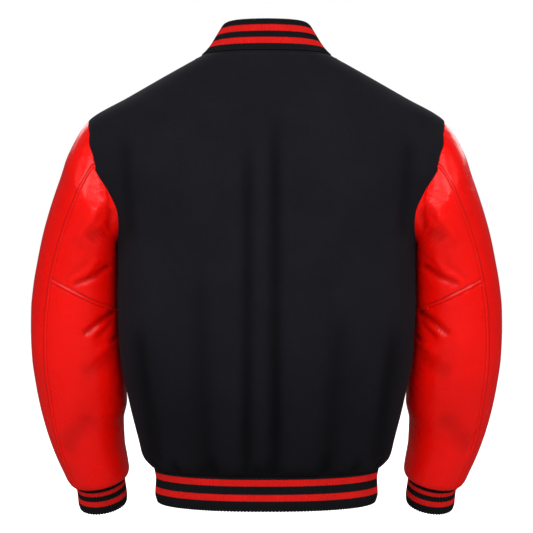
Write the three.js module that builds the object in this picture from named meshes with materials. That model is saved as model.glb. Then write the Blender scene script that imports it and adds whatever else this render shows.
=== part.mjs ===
// A varsity jacket in its worn shape: two wool fronts and a wool back, leather sleeves cut in three
// pieces each, and ribbed knit at the neck, the wrists and the waist. It closes with seven snaps.
// Millimetres, +Z up. The front faces -Y and the wearer's left side is +X.
// The origin lies between the shoulders, at the height of the side neck points.
import * as THREE from "three";

const { cos, sin, sqrt, abs, asin, exp, max, min, hypot, PI } = Math;
const RADIANS = PI / 180;

// Cloth
const WOOL = 2.2;
const LEATHER = 1.6;
const KNIT = 3;
const SEAM = 0.3; // the gap between two sewn pieces
const ARMHOLE_SEAM = 0.55; // wider, for the two walls lean together behind this seam's curve
const RIB_PITCH = 5;
const RIB_HEIGHT = 0.9;
const KNIT_INSIDE_STEP = 4; // outer columns to each column of a knit's plain inside

// Heights
const NECK_TOP = 5;
const FRONT_NECK = -78;
const HEM_SEAM = -603;
const HEM_END = -652;
const BAND_MIDDLE = -628;

// Openings and edges
const NECK_HALF_WIDTH = 96;
const ARMHOLE = { z: -180.5, halfHeight: 91.5, halfDepth: 76 };
const LAP = 18; // how far each front passes the centre line
const LAP_FADE = 34; // the stretch over which a lapped edge comes back to the rest of its piece
const LAP_GAP = 0.7;
const SQUARENESS = 2.4; // 2 makes each torso ring an ellipse, and more makes it squarer

// The torso, from the hem seam up to the neck: half its width, and its reach behind and in front.
// Inside the armholes the width is that of the shoulder which the seam is cut out of.
const torsoSections = [
  { z: -603, side: 165, back: 121.5, front: 117.5 },
  { z: -597, side: 174, back: 131, front: 126 },
  { z: -586, side: 182.5, back: 138, front: 132.5 },
  { z: -561, side: 189, back: 140.5, front: 135 },
  { z: -507, side: 202.5, back: 141, front: 137.5 },
  { z: -435, side: 216.3, back: 139, front: 139.5 },
  { z: -350, side: 220.1, back: 137, front: 141 },
  { z: -300, side: 220.1, back: 137, front: 141 },
  { z: -272, side: 220.8, back: 137, front: 141 },
  { z: -251, side: 228, back: 136.5, front: 139.5 },
  { z: -226, side: 241.5, back: 135.5, front: 136.5 },
  { z: -196, side: 267.5, back: 133.5, front: 130.5 },
  { z: -165, side: 290.5, back: 130.5, front: 124 },
  { z: -135, side: 292, back: 125.5, front: 116.5 },
  { z: -110, side: 277.5, back: 120.5, front: 110 },
  { z: -89, side: 261, back: 115, front: 104 },
  { z: -56, side: 204, back: 105, front: 95 },
  { z: -20, side: 141, back: 91, front: 80 },
  { z: 5, side: 96, back: 78, front: 62 },
];

// The waistband, a straight knit tube that is a little tighter near its seam.
const bandSections = [
  { z: -652, side: 160.5, back: 119, front: 115 },
  { z: -640, side: 163.5, back: 121.5, front: 117.5 },
  { z: -618, side: 162.5, back: 120.5, front: 116.5 },
  { z: -603, side: 165, back: 121.5, front: 117.5 },
];

// A sleeve's rings: the outermost and innermost point seen from the back, the middle and the half
// depth front to back, and how far the back of the ring leans down as the forearm swings forward.
const sleeveSections = [
  { t: 0, outX: 261, outZ: -89, inX: 219.5, inZ: -272, midY: 0, depth: 76, lean: 0 },
  { t: 0.06, outX: 280, outZ: -111, inX: 221.2, inZ: -274.8, midY: 1, depth: 79, lean: 0 },
  { t: 0.12, outX: 292.8, outZ: -140, inX: 221.7, inZ: -279.5, midY: 1, depth: 81, lean: 0 },
  { t: 0.18, outX: 303, outZ: -170, inX: 221.7, inZ: -286.5, midY: -3, depth: 82, lean: 0 },
  { t: 0.24, outX: 313.5, outZ: -198, inX: 221.6, inZ: -295, midY: -8.5, depth: 81.5, lean: 0 },
  { t: 0.3, outX: 323.5, outZ: -227, inX: 221.5, inZ: -307, midY: -14, depth: 80, lean: 0 },
  { t: 0.36, outX: 332.8, outZ: -259, inX: 221.4, inZ: -323, midY: -18, depth: 77, lean: 0 },
  { t: 0.42, outX: 340.8, outZ: -296, inX: 221.3, inZ: -346, midY: -21, depth: 74, lean: 0 },
  { t: 0.48, outX: 347.5, outZ: -333, inX: 220.8, inZ: -372, midY: -23, depth: 71.5, lean: 3 },
  { t: 0.54, outX: 351.2, outZ: -369, inX: 219.7, inZ: -398, midY: -25, depth: 69.5, lean: 7 },
  { t: 0.6, outX: 351.8, outZ: -405, inX: 218.2, inZ: -423, midY: -27.5, depth: 68, lean: 11 },
  { t: 0.66, outX: 350.5, outZ: -441, inX: 215.5, inZ: -450, midY: -31.5, depth: 66, lean: 14 },
  { t: 0.72, outX: 346.4, outZ: -476, inX: 211, inZ: -478, midY: -38, depth: 64, lean: 16 },
  { t: 0.78, outX: 340.5, outZ: -512, inX: 210, inZ: -507, midY: -46.5, depth: 61.5, lean: 18 },
  { t: 0.84, outX: 332, outZ: -548, inX: 215.5, inZ: -537, midY: -55, depth: 58.5, lean: 19 },
  { t: 0.9, outX: 320.5, outZ: -584, inX: 214.8, inZ: -570, midY: -64, depth: 54, lean: 20 },
  { t: 0.95, outX: 309.2, outZ: -612, inX: 211, inZ: -598, midY: -72.5, depth: 50.5, lean: 20 },
  { t: 0.975, outX: 302, outZ: -628, inX: 209.3, inZ: -613, midY: -77, depth: 47.5, lean: 20 },
  { t: 0.991, outX: 297, outZ: -633, inX: 212, inZ: -620.5, midY: -79, depth: 42.5, lean: 20 },
  { t: 1, outX: 291, outZ: -630.2, inX: 218, inZ: -619.9, midY: -78.5, depth: 36.5, lean: 20 },
];

// A cuff's rings, in the same columns.
const cuffSections = [
  { t: 0, outX: 291, outZ: -631.2, inX: 218, inZ: -620.9, midY: -79, depth: 36.5, lean: 20 },
  { t: 0.4, outX: 288, outZ: -648.5, inX: 216.2, inZ: -639, midY: -86.5, depth: 36, lean: 20 },
  { t: 0.8, outX: 287, outZ: -665.5, inX: 214.5, inZ: -657, midY: -93, depth: 36.2, lean: 20 },
  { t: 1, outX: 285, outZ: -673.5, inX: 215.5, inZ: -665.5, midY: -96, depth: 34.8, lean: 20 },
];

// Where a sleeve's two long seams lie on its rings: 0 is outermost, 90 faces back, 180 is innermost.
const sleeveSeams = [
  { t: 0, back: 80, front: 240 },
  { t: 0.12, back: 76, front: 238 },
  { t: 0.3, back: 68.5, front: 236 },
  { t: 0.55, back: 57.5, front: 233 },
  { t: 1, back: 50, front: 232 },
];
const ELBOW_SEAM = { back: 0.455, front: 0.5 };
const ELBOW_GAP = 0.00035; // half the seam's gap, as a share of the sleeve

// The collar's rim, seen from above, with its heights at the back and where its ends meet.
const COLLAR_TOP = { halfWidth: 65.5, back: 59, front: 84, backZ: 53.5, frontZ: -36 };
const COLLAR_END = 178 * RADIANS;
const COLLAR_CORNER = 14 * RADIANS; // the stretch over which each front corner is rounded off
const COLLAR_END_HEIGHT = 0.55;
const COLLAR_STAND = 1.5; // the collar's edge above the neck's, where the two walls lean apart
const COLLAR_HOLLOW = 0.027; // how far its side curves in between seam and rim, as a share of its width
const HOLLOW_CURVE = 27 / 4; // makes share * (1 - share) ** 2 peak at 1, at a third of the height

// Soft folds down the torso: where each starts and ends, its half width, and how deep it is.
const torsoFolds = [
  { fromX: 27, fromZ: -150, toX: 28, toZ: -590, width: 11, depth: 3.4, side: "back" },
  { fromX: -13, fromZ: -150, toX: -13, toZ: -590, width: 11, depth: 3.6, side: "back" },
  { fromX: 186, fromZ: -400, toX: 158, toZ: -592, width: 13, depth: 4, side: "back" },
  { fromX: -186, fromZ: -400, toX: -158, toZ: -592, width: 13, depth: 4, side: "back" },
  { fromX: 222, fromZ: -120, toX: 214, toZ: -235, width: 12, depth: 3.2, side: "back" },
  { fromX: -222, fromZ: -120, toX: -214, toZ: -235, width: 12, depth: 3.2, side: "back" },
  { fromX: 96, fromZ: -330, toX: 84, toZ: -590, width: 15, depth: 2, side: "back" },
  { fromX: -102, fromZ: -380, toX: -88, toZ: -590, width: 15, depth: 2, side: "back" },
  { fromX: 150, fromZ: -250, toX: 118, toZ: -590, width: 16, depth: 3.4, side: "front" },
  { fromX: -156, fromZ: -230, toX: -112, toZ: -590, width: 16, depth: 3.2, side: "front" },
  { fromX: 70, fromZ: -360, toX: 58, toZ: -592, width: 13, depth: 2.2, side: "front" },
  { fromX: -76, fromZ: -330, toX: -62, toZ: -592, width: 13, depth: 2.4, side: "front" },
];

// Gathers where the wool is eased on to the waistband: their place round the ring from the centre
// back, how far each runs up the wool, its half width round the ring and its depth.
const gathers = [
  { at: -2, reach: 42, width: 2.6, depth: 4.2 },
  { at: 4, reach: 30, width: 2.2, depth: 2.8 },
  { at: 25, reach: 40, width: 3, depth: 4.4 },
  { at: 31, reach: 26, width: 2.2, depth: 2.6 },
  { at: -27, reach: 44, width: 3, depth: 4.4 },
  { at: 46, reach: 34, width: 3, depth: 3.8 },
  { at: -45, reach: 36, width: 3, depth: 3.8 },
  { at: 64, reach: 28, width: 3, depth: 3 },
  { at: -66, reach: 30, width: 3, depth: 3.2 },
  { at: 84, reach: 26, width: 3.2, depth: 2.6 },
  { at: -86, reach: 24, width: 3.2, depth: 2.4 },
  { at: 108, reach: 30, width: 3, depth: 3.2 },
  { at: -106, reach: 28, width: 3, depth: 3 },
  { at: 130, reach: 38, width: 3, depth: 4 },
  { at: -128, reach: 36, width: 3, depth: 3.8 },
  { at: 150, reach: 40, width: 3, depth: 4.2 },
  { at: -149, reach: 42, width: 3, depth: 4 },
  { at: 164, reach: 28, width: 2.4, depth: 3 },
  { at: -165, reach: 26, width: 2.4, depth: 2.8 },
];

// Creases of a sleeve, each from one place on the leather to another. A negative depth is a ridge.
const sleeveFolds = [
  { fromAngle: 108, fromT: 0.06, toAngle: 90, toT: 0.3, width: 8, depth: -2.4 },
  { fromAngle: 134, fromT: 0.1, toAngle: 106, toT: 0.27, width: 10, depth: 2.4 },
  { fromAngle: 148, fromT: 0.305, toAngle: 88, toT: 0.44, width: 8, depth: 3.6 },
  { fromAngle: 164, fromT: 0.5, toAngle: 110, toT: 0.566, width: 9, depth: 4.4 },
  { fromAngle: 150, fromT: 0.62, toAngle: 104, toT: 0.66, width: 12, depth: 1.8 },
  { fromAngle: 106, fromT: 0.78, toAngle: 58, toT: 0.87, width: 16, depth: 2.4 },
  { fromAngle: 240, fromT: 0.06, toAngle: 292, toT: 0.28, width: 11, depth: 3.4 },
  { fromAngle: 215, fromT: 0.34, toAngle: 280, toT: 0.42, width: 9, depth: 4.6 },
  { fromAngle: 200, fromT: 0.46, toAngle: 290, toT: 0.5, width: 9, depth: 5.4 },
  { fromAngle: 210, fromT: 0.56, toAngle: 276, toT: 0.6, width: 9, depth: 4.4 },
  { fromAngle: 260, fromT: 0.72, toAngle: 310, toT: 0.84, width: 13, depth: 2.6 },
];
const SLEEVE_GIRTH_RADIUS = 66; // turns an angle on a sleeve into a distance over the leather
const SLEEVE_LENGTH = 560;

// Snaps
const SNAP = { radius: 7.6, height: 2.6, rim: 0.9, seat: 0.5, sides: 16, topZ: -112, bandZ: -627, count: 7 };

// Colours
const BLACK_WOOL = { color: 0x17171c, roughness: 0.95, metalness: 0 };
const RED_LEATHER = { color: 0xd9170f, roughness: 0.42, metalness: 0 };
const BLACK_KNIT = { color: 0x15171a, roughness: 0.9, metalness: 0 };
const SNAP_FINISH = { color: 0x16161a, roughness: 0.35, metalness: 0.2 };

// How many columns and rows each kind of piece gets
const TORSO_HALF_COLUMNS = 15;
const ARMHOLE_ROWS = 9; // a sleeve has a column for each of these at the front and at the back
const UPPER_ROWS = 9;
const LOWER_ROWS = 14;
const LOWER_ROW_CROWDING = 1.6; // above 1 it draws a sleeve's lower rows towards the wrist
const COLLAR_ROWS = 3;

const lerp = (a, b, share) => a + (b - a) * share;
const clamp = (value) => min(1, max(0, value));
const eased = (share) => clamp(share) ** 2 * (3 - 2 * clamp(share));
const steps = (from, to, count) => Array.from({ length: count + 1 }, (_, i) => lerp(from, to, i / count));

// A smooth curve through one column of a table that never swings past its values.
function curveThrough(rows, along, column) {
  const xs = rows.map((row) => row[along]);
  const ys = rows.map((row) => row[column]);
  const rises = xs.slice(1).map((x, i) => (ys[i + 1] - ys[i]) / (x - xs[i]));
  const slopes = xs.map((_, i) => {
    const before = rises[max(0, i - 1)];
    const after = rises[min(rises.length - 1, i)];
    return before * after <= 0 ? 0 : (2 * before * after) / (before + after);
  });
  return (x) => {
    const inside = min(xs.at(-1), max(xs[0], x));
    const i = max(0, min(xs.length - 2, xs.findIndex((at) => at >= inside) - 1));
    const width = xs[i + 1] - xs[i];
    const s = (inside - xs[i]) / width;
    const startPart = ys[i] * (1 + 2 * s) * (1 - s) ** 2 + slopes[i] * width * s * (1 - s) ** 2;
    const endPart = ys[i + 1] * (3 - 2 * s) * s ** 2 - slopes[i + 1] * width * s ** 2 * (1 - s);
    return startPart + endPart;
  };
}

function tracks(rows, along) {
  const columns = Object.keys(rows[0]).filter((name) => typeof rows[0][name] === "number");
  return Object.fromEntries(columns.map((name) => [name, curveThrough(rows, along, name)]));
}

// How much of a fold is felt at a place: full on its line, and fading out at its sides and ends.
function foldShare(x, y, fold) {
  const alongX = fold.toX - fold.fromX;
  const alongY = fold.toY - fold.fromY;
  const length = hypot(alongX, alongY);
  const along = ((x - fold.fromX) * alongX + (y - fold.fromY) * alongY) / length ** 2;
  const aside = ((x - fold.fromX) * alongY - (y - fold.fromY) * alongX) / length;
  const ends = eased(along * 4 + 0.5) * eased((1 - along) * 4 + 0.5);
  return ends * exp(-((aside / fold.width) ** 2));
}

// The outward direction of a surface at (a, b), from the surface close by.
function normalOf(surface, a, b, stepA, stepB) {
  const acrossA = surface(a + stepA, b).sub(surface(a - stepA, b));
  const acrossB = surface(a, b + stepB).sub(surface(a, b - stepB));
  return acrossA.cross(acrossB).normalize();
}

// The torso's surface by ring angle and height: 0 is the centre back, 90 degrees the left side.
const torso = tracks(torsoSections, "z");

function ringPoint(sections, angle, z) {
  const side = sections.side(z);
  const depth = cos(angle) >= 0 ? sections.back(z) : -sections.front(z);
  const reach = sqrt(max(0, 1 - abs(sin(angle)) ** SQUARENESS));
  return new THREE.Vector3(side * sin(angle), depth * reach, z);
}

const smoothTorso = (angle, z) => ringPoint(torso, angle, z);
const band = tracks(bandSections, "z");
const bandSurface = (angle, z) => ringPoint(band, angle, z);

function torsoDip(point, angle) {
  const place = cos(angle) >= 0 ? "back" : "front";
  const folds = torsoFolds.filter((fold) => fold.side === place);
  const soft = folds.map(({ fromX, fromZ, toX, toZ, width, depth }) => {
    return depth * foldShare(point.x, point.z, { fromX, fromY: fromZ, toX, toY: toZ, width });
  });
  const degrees = angle / RADIANS;
  const easedIn = gathers.map(({ at, reach, width, depth }) => {
    const turn = abs(((degrees - at + 540) % 360) - 180) / width;
    const up = (point.z - HEM_SEAM) / reach;
    return depth * exp(-(turn ** 2)) * eased(1 - up);
  });
  return eased((point.z - HEM_SEAM) / 8) * [...soft, ...easedIn].reduce((sum, dip) => sum + dip, 0);
}

function torsoSurface(angle, z) {
  const point = smoothTorso(angle, z);
  const out = normalOf(smoothTorso, angle, z, -0.01, 0.5);
  return point.addScaledVector(out, -torsoDip(point, angle));
}

const torsoNormal = (angle, z) => normalOf(torsoSurface, angle, z, -0.01, 0.5);

// The rows of the torso's panels. A row beside the armhole ends at a turn of its seam, seen from
// the side: 0 is the shoulder point, a quarter turn its back or front, and half a turn the armpit.
const besideArmhole = steps(PI, 0, ARMHOLE_ROWS).map((turn) => {
  return { turn, z: ARMHOLE.z + (ARMHOLE.halfHeight + ARMHOLE_SEAM / 2) * cos(turn) };
});
const ARMPIT = besideArmhole[0].z;
const UNDER_ARMPIT = 30; // the lowest armhole row stands this far or more above the row below it
const SHOULDER_ROWS = [-62, -36, -13, NECK_TOP];
const torsoRows = [
  ...torsoSections.filter(({ z }) => z < ARMPIT - UNDER_ARMPIT).map(({ z }) => ({ turn: 0, z })),
  ...besideArmhole,
  ...SHOULDER_ROWS.map((z) => ({ turn: 0, z })),
];

// The ring angle, less than a quarter turn, of a point this far from the side seams' plane.
const angleAt = (y, depth) => asin((1 - (y / depth) ** 2) ** (1 / SQUARENESS));

const rowEnd = ({ turn }, depth) => angleAt((ARMHOLE.halfDepth + ARMHOLE_SEAM / 2) * sin(turn), depth);

// A closed wall from its outer points and its inner ones, row by row. The outer rows may have a whole
// number of times as many columns as the inner ones. A tube repeats its first column as its last.
function wallGeometry(outer, inner, isTube) {
  const ratio = (outer[0].length - 1) / (inner[0].length - 1);
  const middle = Math.ceil(ratio / 2);
  const faces = [];
  const face = (...corners) => faces.push(corners);
  const sheet = (grid, turned) => {
    for (let i = 0; i + 1 < grid.length; i++)
      for (let j = 0; j + 1 < grid[i].length; j++) {
        const [a, b, c, d] = [grid[i][j], grid[i][j + 1], grid[i + 1][j + 1], grid[i + 1][j]];
        if (turned) {
          face(a, c, b);
          face(a, d, c);
        } else {
          face(a, b, c);
          face(a, c, d);
        }
      }
  };
  const rim = (outerRow, innerRow, turned) => {
    const put = (a, b, c) => (turned ? face(b, a, c) : face(a, b, c));
    for (let k = 0; k + 1 < innerRow.length; k++) {
      for (let m = 0; m < ratio; m++) {
        const at = k * ratio + m;
        put(outerRow[at + 1], outerRow[at], innerRow[m < middle ? k : k + 1]);
      }
      put(outerRow[k * ratio + middle], innerRow[k], innerRow[k + 1]);
    }
  };
  const edge = (j, innerJ, turned) => {
    for (let i = 0; i + 1 < outer.length; i++) {
      const [a, b, c, d] = [outer[i][j], outer[i + 1][j], inner[i + 1][innerJ], inner[i][innerJ]];
      if (turned) {
        face(b, a, d);
        face(b, d, c);
      } else {
        face(a, b, c);
        face(a, c, d);
      }
    }
  };
  sheet(outer, false);
  sheet(inner, true);
  rim(outer[0], inner[0], false);
  rim(outer.at(-1), inner.at(-1), true);
  if (!isTube) {
    edge(0, 0, false);
    edge(outer[0].length - 1, inner[0].length - 1, true);
  }
  const volume = faces.reduce((sum, [a, b, c]) => sum + a.dot(b.clone().cross(c)), 0);
  const outward = volume < 0 ? faces.map(([a, b, c]) => [a, c, b]) : faces;
  return new THREE.BufferGeometry().setFromPoints(outward.flat());
}

const object = new THREE.Group();

function add(name, geometry, finish) {
  geometry.computeVertexNormals();
  const mesh = new THREE.Mesh(geometry, new THREE.MeshStandardMaterial(finish));
  mesh.name = name;
  object.add(mesh);
}

const mirrored = (grid) => grid.map((row) => row.map((p) => new THREE.Vector3(-p.x, p.y, p.z)));

// A wall of even thickness under a grid of points, each with its outward direction.
function clothGeometry(grid, thickness, isMirrored) {
  const outer = grid.map((row) => row.map(({ point }) => point));
  const inward = ({ point, out }) => point.clone().addScaledVector(out, -thickness);
  const inner = grid.map((row) => row.map(inward));
  return isMirrored ? wallGeometry(mirrored(outer), mirrored(inner)) : wallGeometry(outer, inner);
}

// At the hem seam the wool's edge stands level on the waistband's.
function torsoOut(angle, z) {
  const out = torsoNormal(angle, z);
  return z > HEM_SEAM + 1 ? out : out.setZ(0).normalize();
}

function backPanel() {
  const grid = torsoRows.map((row) => {
    const end = rowEnd(row, torso.back(row.z));
    return steps(-end, end, 2 * TORSO_HALF_COLUMNS).map((angle) => {
      const point = torsoSurface(angle, row.z);
      point.y += SEAM / 2;
      return { point, out: torsoOut(angle, row.z) };
    });
  });
  add("back", clothGeometry(grid, WOOL), BLACK_WOOL);
}

// How far a lapped edge lies off its piece's own surface, by its place from the centre line.
const lapLift = (x, thickness) => ((thickness + LAP_GAP) / 2) * (1 - eased((x - LAP - 5) / LAP_FADE));

// A front runs from its side, armhole and shoulder seams to past the centre line, and its top edge
// dips to the front neck. The left one lies over the right one where they lap.
function frontPanel(name, isLeft) {
  const side = isLeft ? 1 : -1;
  const grid = torsoRows.map((row) => {
    const end = rowEnd(row, torso.front(row.z));
    const endX = torso.side(row.z) * sin(end);
    const share = clamp((row.z - ARMPIT) / (NECK_TOP - ARMPIT));
    const drop = share * (NECK_TOP - FRONT_NECK);
    const roundness = lerp(2, 0.5, share ** 2); // 0.5 makes the row's dip the half ellipse of the neck
    return steps(0, 1, TORSO_HALF_COLUMNS).map((u) => {
      const lap = LAP * (1 - u) ** 2;
      const acrossNeck = sin((u * PI) / 2) - lap / NECK_HALF_WIDTH;
      const x = (endX * sin(u * end)) / sin(end) - lap;
      const z = row.z - drop * (1 - acrossNeck ** 2) ** roundness;
      const angle = side * (PI - asin(x / torso.side(z)));
      const out = torsoOut(angle, z);
      const point = torsoSurface(angle, z).addScaledVector(out, side * lapLift(x, WOOL));
      point.y -= SEAM / 2;
      return { point, out };
    });
  });
  add(name, clothGeometry(grid, WOOL), BLACK_WOOL);
}

// A point of the armhole seam on the sleeve's side, by its turn from the shoulder point backwards.
function armholePoint(turn) {
  const z = ARMHOLE.z + (ARMHOLE.halfHeight - ARMHOLE_SEAM / 2) * cos(turn);
  const y = (ARMHOLE.halfDepth - ARMHOLE_SEAM / 2) * sin(turn);
  const angle = y >= 0 ? angleAt(y, torso.back(z)) : PI - angleAt(y, torso.front(z));
  return { point: torsoSurface(angle, z), out: torsoNormal(angle, z) };
}

function ringOf(sections, turn, t) {
  const outer = new THREE.Vector3(sections.outX(t), sections.midY(t), sections.outZ(t));
  const innermost = new THREE.Vector3(sections.inX(t), sections.midY(t), sections.inZ(t));
  const middle = outer.clone().add(innermost).multiplyScalar(0.5);
  const lean = sections.lean(t) * RADIANS;
  const backward = new THREE.Vector3(0, cos(lean), -sin(lean)).multiplyScalar(sections.depth(t));
  return middle.clone().addScaledVector(outer.sub(middle), cos(turn)).addScaledVector(backward, sin(turn));
}

const sleeve = tracks(sleeveSections, "t");
const cuff = tracks(cuffSections, "t");
const seams = tracks(sleeveSeams, "t");
const ARMHOLE_BLEND = 0.14; // the share of a sleeve over which its ring turns into the armhole

function smoothSleeve(turn, t) {
  const ring = ringOf(sleeve, turn, t);
  if (t >= ARMHOLE_BLEND) return ring;
  return armholePoint(turn).point.lerp(ring, eased(max(0, t) / ARMHOLE_BLEND));
}

function sleeveSurface(turn, t) {
  const point = smoothSleeve(turn, t);
  const out = normalOf(smoothSleeve, turn, t, 0.02, -0.004);
  const angle = ((turn / RADIANS) % 360) * RADIANS;
  const dips = sleeveFolds.map(({ fromAngle, fromT, toAngle, toT, width, depth }) => {
    const fold = {
      fromX: fromAngle * RADIANS * SLEEVE_GIRTH_RADIUS,
      toX: toAngle * RADIANS * SLEEVE_GIRTH_RADIUS,
      fromY: fromT * SLEEVE_LENGTH,
      toY: toT * SLEEVE_LENGTH,
      width,
    };
    return depth * foldShare(angle * SLEEVE_GIRTH_RADIUS, t * SLEEVE_LENGTH, fold);
  });
  const flat = eased(t / 0.04) * eased((0.98 - t) / 0.05);
  return point.addScaledVector(out, -flat * dips.reduce((sum, dip) => sum + dip, 0));
}

// Over the top of the armhole the sleeve's edge stands beside the torso's and takes its direction.
function sleeveOut(turn, t) {
  const out = normalOf(sleeveSurface, turn, t, 0.02, -0.004);
  if (t > 0) return out;
  return out.lerp(armholePoint(turn).out, eased(0.5 + 1.2 * cos(turn))).normalize();
}

// The share of the sleeve's length at a row, on a line that crosses the elbow seam at elbowT.
function rowShare(row, elbowT) {
  if (row <= UPPER_ROWS) return (elbowT * row) / UPPER_ROWS;
  const left = 1 - (row - UPPER_ROWS) / LOWER_ROWS;
  return lerp(1, elbowT, left ** LOWER_ROW_CROWDING);
}

// One panel of both sleeves, between two long seams given in degrees and two rows. The elbow seam
// is crossed at elbowFrom on the first long seam and at elbowTo on the other.
function sleevePanel(name, { from, to, columns, firstRow, lastRow, elbowFrom, elbowTo }) {
  const rows = steps(firstRow, lastRow, lastRow - firstRow);
  const grid = rows.map((row) =>
    steps(0, 1, columns).map((u) => {
      const isElbow = row === UPPER_ROWS && (row === firstRow || row === lastRow);
      const seamShift = isElbow ? (row === firstRow ? 1 : -1) * ELBOW_GAP : 0;
      const t = rowShare(row, lerp(elbowFrom, elbowTo, u)) + seamShift;
      const gap = SEAM / 2 / (0.8 * sleeve.depth(t));
      const turn = lerp(from(t) * RADIANS + gap, to(t) * RADIANS - gap, u);
      return { point: sleeveSurface(turn, t), out: sleeveOut(turn, t) };
    }),
  );
  add("left_" + name, clothGeometry(grid, LEATHER), RED_LEATHER);
  add("right_" + name, clothGeometry(grid, LEATHER, true), RED_LEATHER);
}

function sleeves() {
  const { back, front } = ELBOW_SEAM;
  const columnsOver = (degrees) => Math.round((degrees / 180) * ARMHOLE_ROWS);
  const top = { from: (t) => seams.front(t) - 360, to: seams.back, elbowFrom: front, elbowTo: back };
  const under = { from: seams.back, to: seams.front, elbowFrom: back, elbowTo: front };
  const topColumns = columnsOver(top.to(0) - top.from(0));
  const underColumns = columnsOver(under.to(0) - under.from(0));
  const last = UPPER_ROWS + LOWER_ROWS;
  sleevePanel("top_sleeve", { ...top, columns: topColumns, firstRow: 0, lastRow: last });
  const upper = { ...under, columns: underColumns, firstRow: 0, lastRow: UPPER_ROWS };
  const lower = { ...under, columns: underColumns, firstRow: UPPER_ROWS, lastRow: last };
  sleevePanel("upper_under_sleeve", upper);
  sleevePanel("lower_under_sleeve", lower);
}

// A ribbed knit wall: every other outer column is raised, and the inside is plain.
function knitGeometry(columns, rows, pointAt, outAt, isTube) {
  const outer = rows.map((row) =>
    steps(0, 1, columns).map((u, j) => {
      return pointAt(u, row).addScaledVector(outAt(u, row), j % 2 ? RIB_HEIGHT : 0);
    }),
  );
  const inner = rows.map((row) =>
    steps(0, 1, columns / KNIT_INSIDE_STEP).map((u) => pointAt(u, row).addScaledVector(outAt(u, row), -KNIT)),
  );
  return wallGeometry(outer, inner, isTube);
}

// Whole numbers of ribs that also divide into the plain inside's columns.
const ribColumns = (length) => KNIT_INSIDE_STEP * Math.round((2 * length) / RIB_PITCH / KNIT_INSIDE_STEP);

// A cuff's top edge lies flat against the leather's, which is drawn in over it.
function cuffOut(turn, t) {
  const out = normalOf((a, b) => ringOf(cuff, a, b), turn, t, 0.02, -0.01);
  if (t > 0) return out;
  const across = ringOf(cuff, 0, 0).sub(ringOf(cuff, PI, 0));
  const axis = across.cross(ringOf(cuff, PI / 2, 0).sub(ringOf(cuff, -PI / 2, 0))).normalize();
  return out.addScaledVector(axis, -out.dot(axis)).normalize();
}

function cuffs() {
  const columns = ribColumns(2 * PI * cuffSections[0].depth);
  const point = (u, t) => ringOf(cuff, 2 * PI * u, t);
  const out = (u, t) => cuffOut(2 * PI * u, t);
  const flip = (p) => p.setX(-p.x);
  const rows = [0, 0.5, 1];
  add("left_cuff", knitGeometry(columns, rows, point, out, true), BLACK_KNIT);
  const right = knitGeometry(columns, rows, (u, t) => flip(point(u, t)), (u, t) => flip(out(u, t)), true);
  add("right_cuff", right, BLACK_KNIT);
}

// The waistband's ends lap at the front as the wool does, the left one on the outside.
function waistband() {
  const end = PI + asin(LAP / band.side(HEM_END));
  const turnAt = (u) => lerp(-end, end, u);
  const out = (u, z) => normalOf(bandSurface, turnAt(u), z, -0.01, 0.5).setZ(0).normalize();
  const point = (u, z) => {
    const angle = turnAt(u);
    const side = angle > 0 ? 1 : -1;
    const lift = cos(angle) > 0 ? 0 : side * lapLift(side * band.side(z) * sin(angle), KNIT + RIB_HEIGHT);
    return bandSurface(angle, z).addScaledVector(out(u, z), lift);
  };
  const columns = ribColumns(2 * PI * sqrt((band.side(HEM_END) ** 2 + band.back(HEM_END) ** 2) / 2));
  const rows = [HEM_END, BAND_MIDDLE, HEM_SEAM - SEAM];
  add("waistband", knitGeometry(columns, rows, point, out), BLACK_KNIT);
}

// The neck seam by ring angle: level round the back, and dipping in an ellipse to the front neck.
function neckPoint(angle) {
  if (cos(angle) >= 0) return { angle, z: NECK_TOP };
  const z = NECK_TOP + (NECK_TOP - FRONT_NECK) * cos(angle);
  const across = asin((NECK_HALF_WIDTH * abs(sin(angle))) / torso.side(z));
  return { angle: Math.sign(angle) * (PI - across), z };
}

function collar() {
  const { halfWidth, back, front, backZ, frontZ } = COLLAR_TOP;
  const seamPoint = (angle) => {
    const seam = neckPoint(angle);
    return smoothTorso(seam.angle, seam.z).addScaledVector(collarRise(angle), COLLAR_STAND);
  };
  const collarRise = (angle) => {
    const seam = neckPoint(angle);
    return rimPoint(angle).sub(smoothTorso(seam.angle, seam.z)).normalize();
  };
  const rimPoint = (angle) => {
    const y = cos(angle) * (cos(angle) >= 0 ? back : front);
    const z = backZ - (backZ - frontZ) * ((1 - cos(angle)) / 2) ** 3;
    return new THREE.Vector3(halfWidth * sin(angle), y, z);
  };
  const turnAt = (u) => lerp(-COLLAR_END, COLLAR_END, u);
  const surface = (angle, share) => {
    const corner = clamp((abs(angle) - COLLAR_END + COLLAR_CORNER) / COLLAR_CORNER);
    const height = lerp(COLLAR_END_HEIGHT, 1, sqrt(1 - corner ** 2));
    const hollow = COLLAR_HOLLOW * eased(1 + cos(angle)); // none at the front
    const waist = 1 - hollow * HOLLOW_CURVE * share * (1 - share) ** 2;
    const point = seamPoint(angle).lerp(rimPoint(angle), share * height);
    return point.set(point.x * waist, point.y * waist, point.z);
  };
  const out = (u, share) => normalOf(surface, turnAt(u), share, -0.01, 0.02);
  const columns = ribColumns(PI * (NECK_HALF_WIDTH + torso.back(NECK_TOP)));
  const point = (u, share) => surface(turnAt(u), share);
  add("collar", knitGeometry(columns, steps(0, 1, COLLAR_ROWS), point, out), BLACK_KNIT);
}

// A snap's cap: a low dome inside a raised rim.
function snapProfile() {
  const { radius, height, rim } = SNAP;
  const corners = [
    [0, 0],
    [radius, 0],
    [radius, height - rim],
    [radius - rim, height],
    [radius - 2.4 * rim, height - 0.7 * rim],
    [radius * 0.35, height - 0.3 * rim],
    [0, height - 0.2 * rim],
  ];
  return corners.map(([r, h]) => new THREE.Vector2(r, h));
}

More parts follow.
